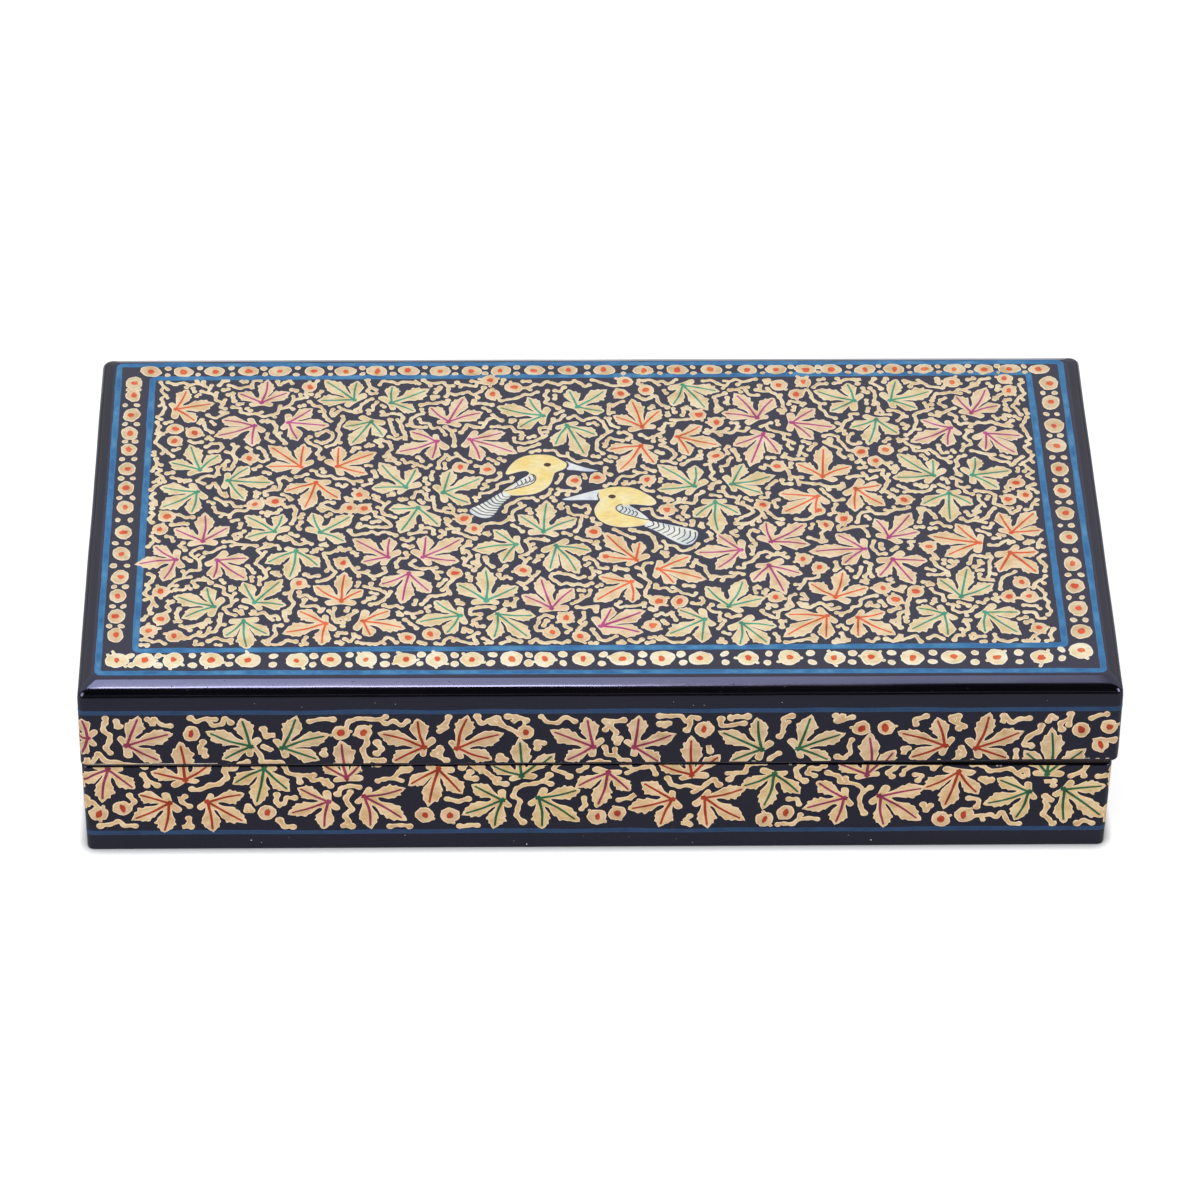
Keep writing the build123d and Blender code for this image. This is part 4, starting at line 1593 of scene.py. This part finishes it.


# Wear. Lid and tray knock together, so the white ground shows in small chips along both lips, and
# in a few nicks on the front. Grains of dust stand in the varnish of the plain bands. A thin pale
# line also runs along a stretch of each lip; on the tray's it is a painted highlight.
chip_relief = 0.02
front_chips = {
    "lid": ((49.6, 0.7), (83.0, 0.6), (131.5, 0.8), (197.0, 1.2)),
    "tray": (
        (12.4, 0.8), (50.4, 0.7), (57.6, 1.0), (118.0, 1.8), (121.6, 0.9), (139.2, 0.6), (176.4, 1.4),
        (180.2, 1.0),
    ),
}
chips_elsewhere = 6
chip_height = 0.13
chip_widths = (0.4, 1.4)
corner_room = 3.0  # how far chips and dust keep from a side's ends
# The stretches of each lip that carry a thin pale line; the tray's is a painted highlight.
pale_lip_lines = {"lid": (0.8, 27.0), "tray": (153.5, 164.0)}
lip_line_radius = 0.10
lip_line_step = 0.6
lip_line_waver = 2.5
lip_depth = {"lid": 0.05, "tray": -0.10}
nicks = ((19.2, 28.4), (20.0, 27.3), (18.4, 24.3), (87.6, 0.9), (33.0, 2.4), (156.0, 1.6))
grains = {"lid": (38.6, 40.2), "tray": (1.0, 3.8)}
grain_count = 9
grain_sizes = (0.04, 0.08)
nick_size = (0.16, 0.14)


def worn_half(turn):
    return side_halves(lid_wall, turn, lid_lip, 0.0)[0] - corner_room


def chipped(face, across, up, wide, tall):
    """A chip with a broken edge."""
    place = Vector((across, up))
    patch("chip", face, place, oval(place, (wide, tall), hand.uniform(-0.2, 0.2), 0.25, 10), chip_relief)


for body, places in front_chips.items():
    lips = [(0, place - left_edge, wide) for place, wide in places]
    for turn in (1, 2, 3):
        half = worn_half(turn)
        for _ in range(chips_elsewhere):
            lips.append((turn, hand.uniform(-half, half), hand.uniform(*chip_widths)))
    for turn, across, wide in lips:
        chipped(turn, across, lip_of(body, turn, across) + lip_depth[body], wide / 2, chip_height)
# A thin pale line along a stretch of the lid's lip, and a painted highlight along the tray's lip.
for body, (first, last) in pale_lip_lines.items():
    path = []
    for step in range(int((last - first) / lip_line_step) + 1):
        across = first + lip_line_step * step - left_edge
        line_radius = lip_line_radius * (0.9 + noise.noise(Vector((across, 0, 5)) / lip_line_waver))
        path.append((across, lip_of(body, 0, across) + lip_depth[body], line_radius))
    stroke("chip", 0, path, chip_relief)
for place, height in nicks:
    chipped(0, place - left_edge, height, *nick_size)
for low, high in grains.values():
    for turn in range(4):
        half = worn_half(turn)
        for _ in range(grain_count):
            size = hand.uniform(*grain_sizes)
            chipped(turn, hand.uniform(-half, half), hand.uniform(low, high), size, size)
chip_and_lip_line_white = distemper(
    "chipped_ground", (216, 206, 190), (176, 160, 140), (240, 234, 224), (60, 52, 50), (200, 190, 176),
)
for body in ("lid", "tray"):
    hang(body + "_chips_dust_and_lip_line", "chip", body, chip_and_lip_line_white)


# Studio. The box stands on a wide pale table under a row of soft overhead panels, with a strip over
# its front edge, a light at each side, and a black cloth towards the camera for the polished
# shoulder to mirror.
table_tone = (170, 170, 172)
table_reach = 30.0
table_glow = 0.80
mirrored_sweep = (0.62, 0.50)  # the middle and half the depth of what the back edge mirrors
mirrored_half = 0.16  # and half its breadth, so that the side edges don't mirror it
# How far out and how strongly a contact shadow is painted into the table's glow round the box.
painted_shadow_reach = 0.0022
painted_shadow_depth = 2.6
cloth_reach = (-8.0, -0.16, 6.0, 0.0005)  # near edge, far edge, half width and height
room_light = 0.37
mirror_white = 1.05
mirror_low = 0.62  # near the table behind, which the side edges mirror
overhead_tint = (0.90, 0.98, 1.10)
overhead_depth = 0.32
overhead_back = -0.16
lamp_height = 1.1
strip_size = (0.28, 0.16)
strip_glow = 22.0
side_lamps = {"side_left": -1.0, "side_right": 1.0}
side_lamp_size = (0.6, 0.6)
side_lamp_glow = 6.0
overhead_panels = (  # left and right edge of each, and how bright it is to look at
    (-0.54, -0.30, 4.9), (-0.30, -0.12, 4.4), (-0.12, -0.03, 3.4), (-0.03, 0.05, 2.7), (0.05, 0.13, 2.3),
    (0.13, 0.19, 1.8), (0.19, 0.25, 1.2),
)


def studio_sheet(name, left, right, near, far, height, shader):
    """A flat sheet of the studio between these edges, at this height."""
    flat = bmesh.new()
    corners = ((left, near), (right, near), (right, far), (left, far))
    flat.faces.new([flat.verts.new((x, y, height)) for x, y in corners])
    mesh = bpy.data.meshes.new(name)
    flat.to_mesh(mesh)
    flat.free()
    mesh.materials.append(material_of(shader))
    sheet = bpy.data.objects.new(name, mesh)
    bpy.context.scene.collection.objects.link(sheet)
    return sheet


def studio_table():
    """A pale table that looks white to the eye and still takes the box's shadow, with a contact shadow
    painted into its glow close round the box.
    """
    shader = finish("studio_table_paper", 0.9)
    shader.inputs["Specular IOR Level"].default_value = 0.1
    shader.inputs["Base Color"].default_value = paint_colour(*table_tone)
    path = add(shader, "LightPath")
    place = add(shader, "SeparateXYZ", Vector=add(shader, "NewGeometry").outputs["Position"])
    behind = sums(shader, "COMPARE", place.outputs["Y"], *mirrored_sweep)
    behind = sums(shader, "MULTIPLY", behind, sums(shader, "COMPARE", place.outputs["X"], 0.0, mirrored_half))
    seen = sums(shader, "MAXIMUM", path.outputs["Is Camera Ray"], path.outputs["Is Transmission Ray"])
    seen = sums(shader, "MAXIMUM", seen, sums(shader, "MULTIPLY", path.outputs["Is Glossy Ray"], behind))
    # The glow fades where the box is close: a painted contact shadow along its foot.
    near = add(shader, "AmbientOcclusion", Distance=painted_shadow_reach, samples=8).outputs["AO"]
    painted_contact_shadow = sums(shader, "POWER", near, painted_shadow_depth)
    strength = sums(shader, "MULTIPLY", sums(shader, "MULTIPLY", painted_contact_shadow, seen), table_glow)
    glow = add(shader, "Emission", Color=(1, 1, 1, 1), Strength=strength)
    both = add(shader, "AddShader")
    links = shader.id_data.links
    links.new(shader.outputs[0], both.inputs[0])
    links.new(glow.outputs[0], both.inputs[1])
    links.new(both.outputs[0], shader.id_data.nodes["Material Output"].inputs["Surface"])
    studio_sheet("studio_table", -table_reach, table_reach, -table_reach, table_reach, 0, shader)


def soft_light(name, place, aim, size, glow, tint=(1, 1, 1)):
    """A soft box at this place, aimed at this point, as bright to look at as glow says."""
    light = bpy.data.lights.new(name, "AREA")
    light.shape = "RECTANGLE"
    light.size, light.size_y = size
    light.energy = glow * math.pi * size[0] * size[1]
    light.color = tint
    lamp = bpy.data.objects.new(name, light)
    lamp.location = place
    lamp.rotation_euler = (Vector(aim) - Vector(place)).to_track_quat("-Z", "Y").to_euler()
    lamp.visible_camera = False
    bpy.context.scene.collection.objects.link(lamp)


def studio_room():
    """White to the eye, an even soft light, and dark towards the camera in polished surfaces."""
    world = bpy.data.worlds.new("studio_room")
    world.use_nodes = True
    bpy.context.scene.world = world
    glow = world.node_tree.nodes["Background"]
    way = add(glow, "SeparateXYZ", Vector=add(glow, "TexCoord").outputs["Generated"])
    forward = sums(glow, "MULTIPLY", way.outputs["Y"], -1.0)
    tilt = sums(glow, "DIVIDE", sums(glow, "ARCTAN2", way.outputs["Z"], forward), math.pi)
    mirrored = tones(
        glow, tilt, (0.0, mirror_white), (0.02, 0.0), (0.375, 0.0), (0.44, mirror_white),
        (0.81, mirror_white), (0.86, mirror_low),
    )
    path = add(glow, "LightPath")
    seen = sums(glow, "MAXIMUM", path.outputs["Is Camera Ray"], path.outputs["Is Transmission Ray"])
    plain = mixed(glow, path.outputs["Is Glossy Ray"], (room_light,) * 3 + (1,), mirrored)
    feed(glow, "Color", mixed(glow, seen, plain, (1, 1, 1, 1)))


def mirrored_cloth():
    """A black cloth over the near end of the table, which only the polished shoulder sees."""
    near, far, half, height = cloth_reach
    shader = finish("studio_black_cloth", 1.0)
    shader.inputs["Base Color"].default_value = paint_colour(3, 3, 3)
    shader.inputs["Specular IOR Level"].default_value = 0.0
    cloth = studio_sheet("studio_cloth", -half, half, near, far, height, shader)
    cloth.visible_camera = False
    cloth.visible_diffuse = False
    cloth.visible_shadow = False


studio_table()
mirrored_cloth()
studio_room()
for rank, (left, right, glow) in enumerate(overhead_panels):
    middle = (left + right) / 2
    size = (right - left, overhead_depth)
    place, aim = (middle, overhead_back, lamp_height), (middle, overhead_back, 0)
    soft_light(f"overhead_{rank}", place, aim, size, glow, overhead_tint)
soft_light("edge_strip", (-0.10, -0.42, lamp_height), (-0.1, -0.05, 0.04), strip_size, strip_glow)
for name, across in side_lamps.items():
    soft_light(name, (across, -0.75, 0.35), (0, 0, 0.02), side_lamp_size, side_lamp_glow)

camera_place = Vector((-24.163, -795.228, 736.312)) * mm
camera_yaw = 1.8096
camera_pitch = 41.9762
camera_roll = 0.9822
camera_lens = 157.906
camera_film = 36.0


def camera_of():
    lens = bpy.data.cameras.new("camera")
    lens.lens = camera_lens
    lens.sensor_width = camera_film
    eye = bpy.data.objects.new("camera", lens)
    turn = Matrix.Rotation(math.radians(-camera_yaw), 4, "Z")
    tip = Matrix.Rotation(math.radians(90 - camera_pitch), 4, "X")
    roll = Matrix.Rotation(math.radians(camera_roll), 4, "Z")
    eye.matrix_world = Matrix.Translation(camera_place) @ turn @ tip @ roll
    bpy.context.scene.collection.objects.link(eye)
    bpy.context.scene.camera = eye


camera_of()
bpy.context.scene.view_settings.view_transform = "Standard"

bpy.context.view_layer.update()
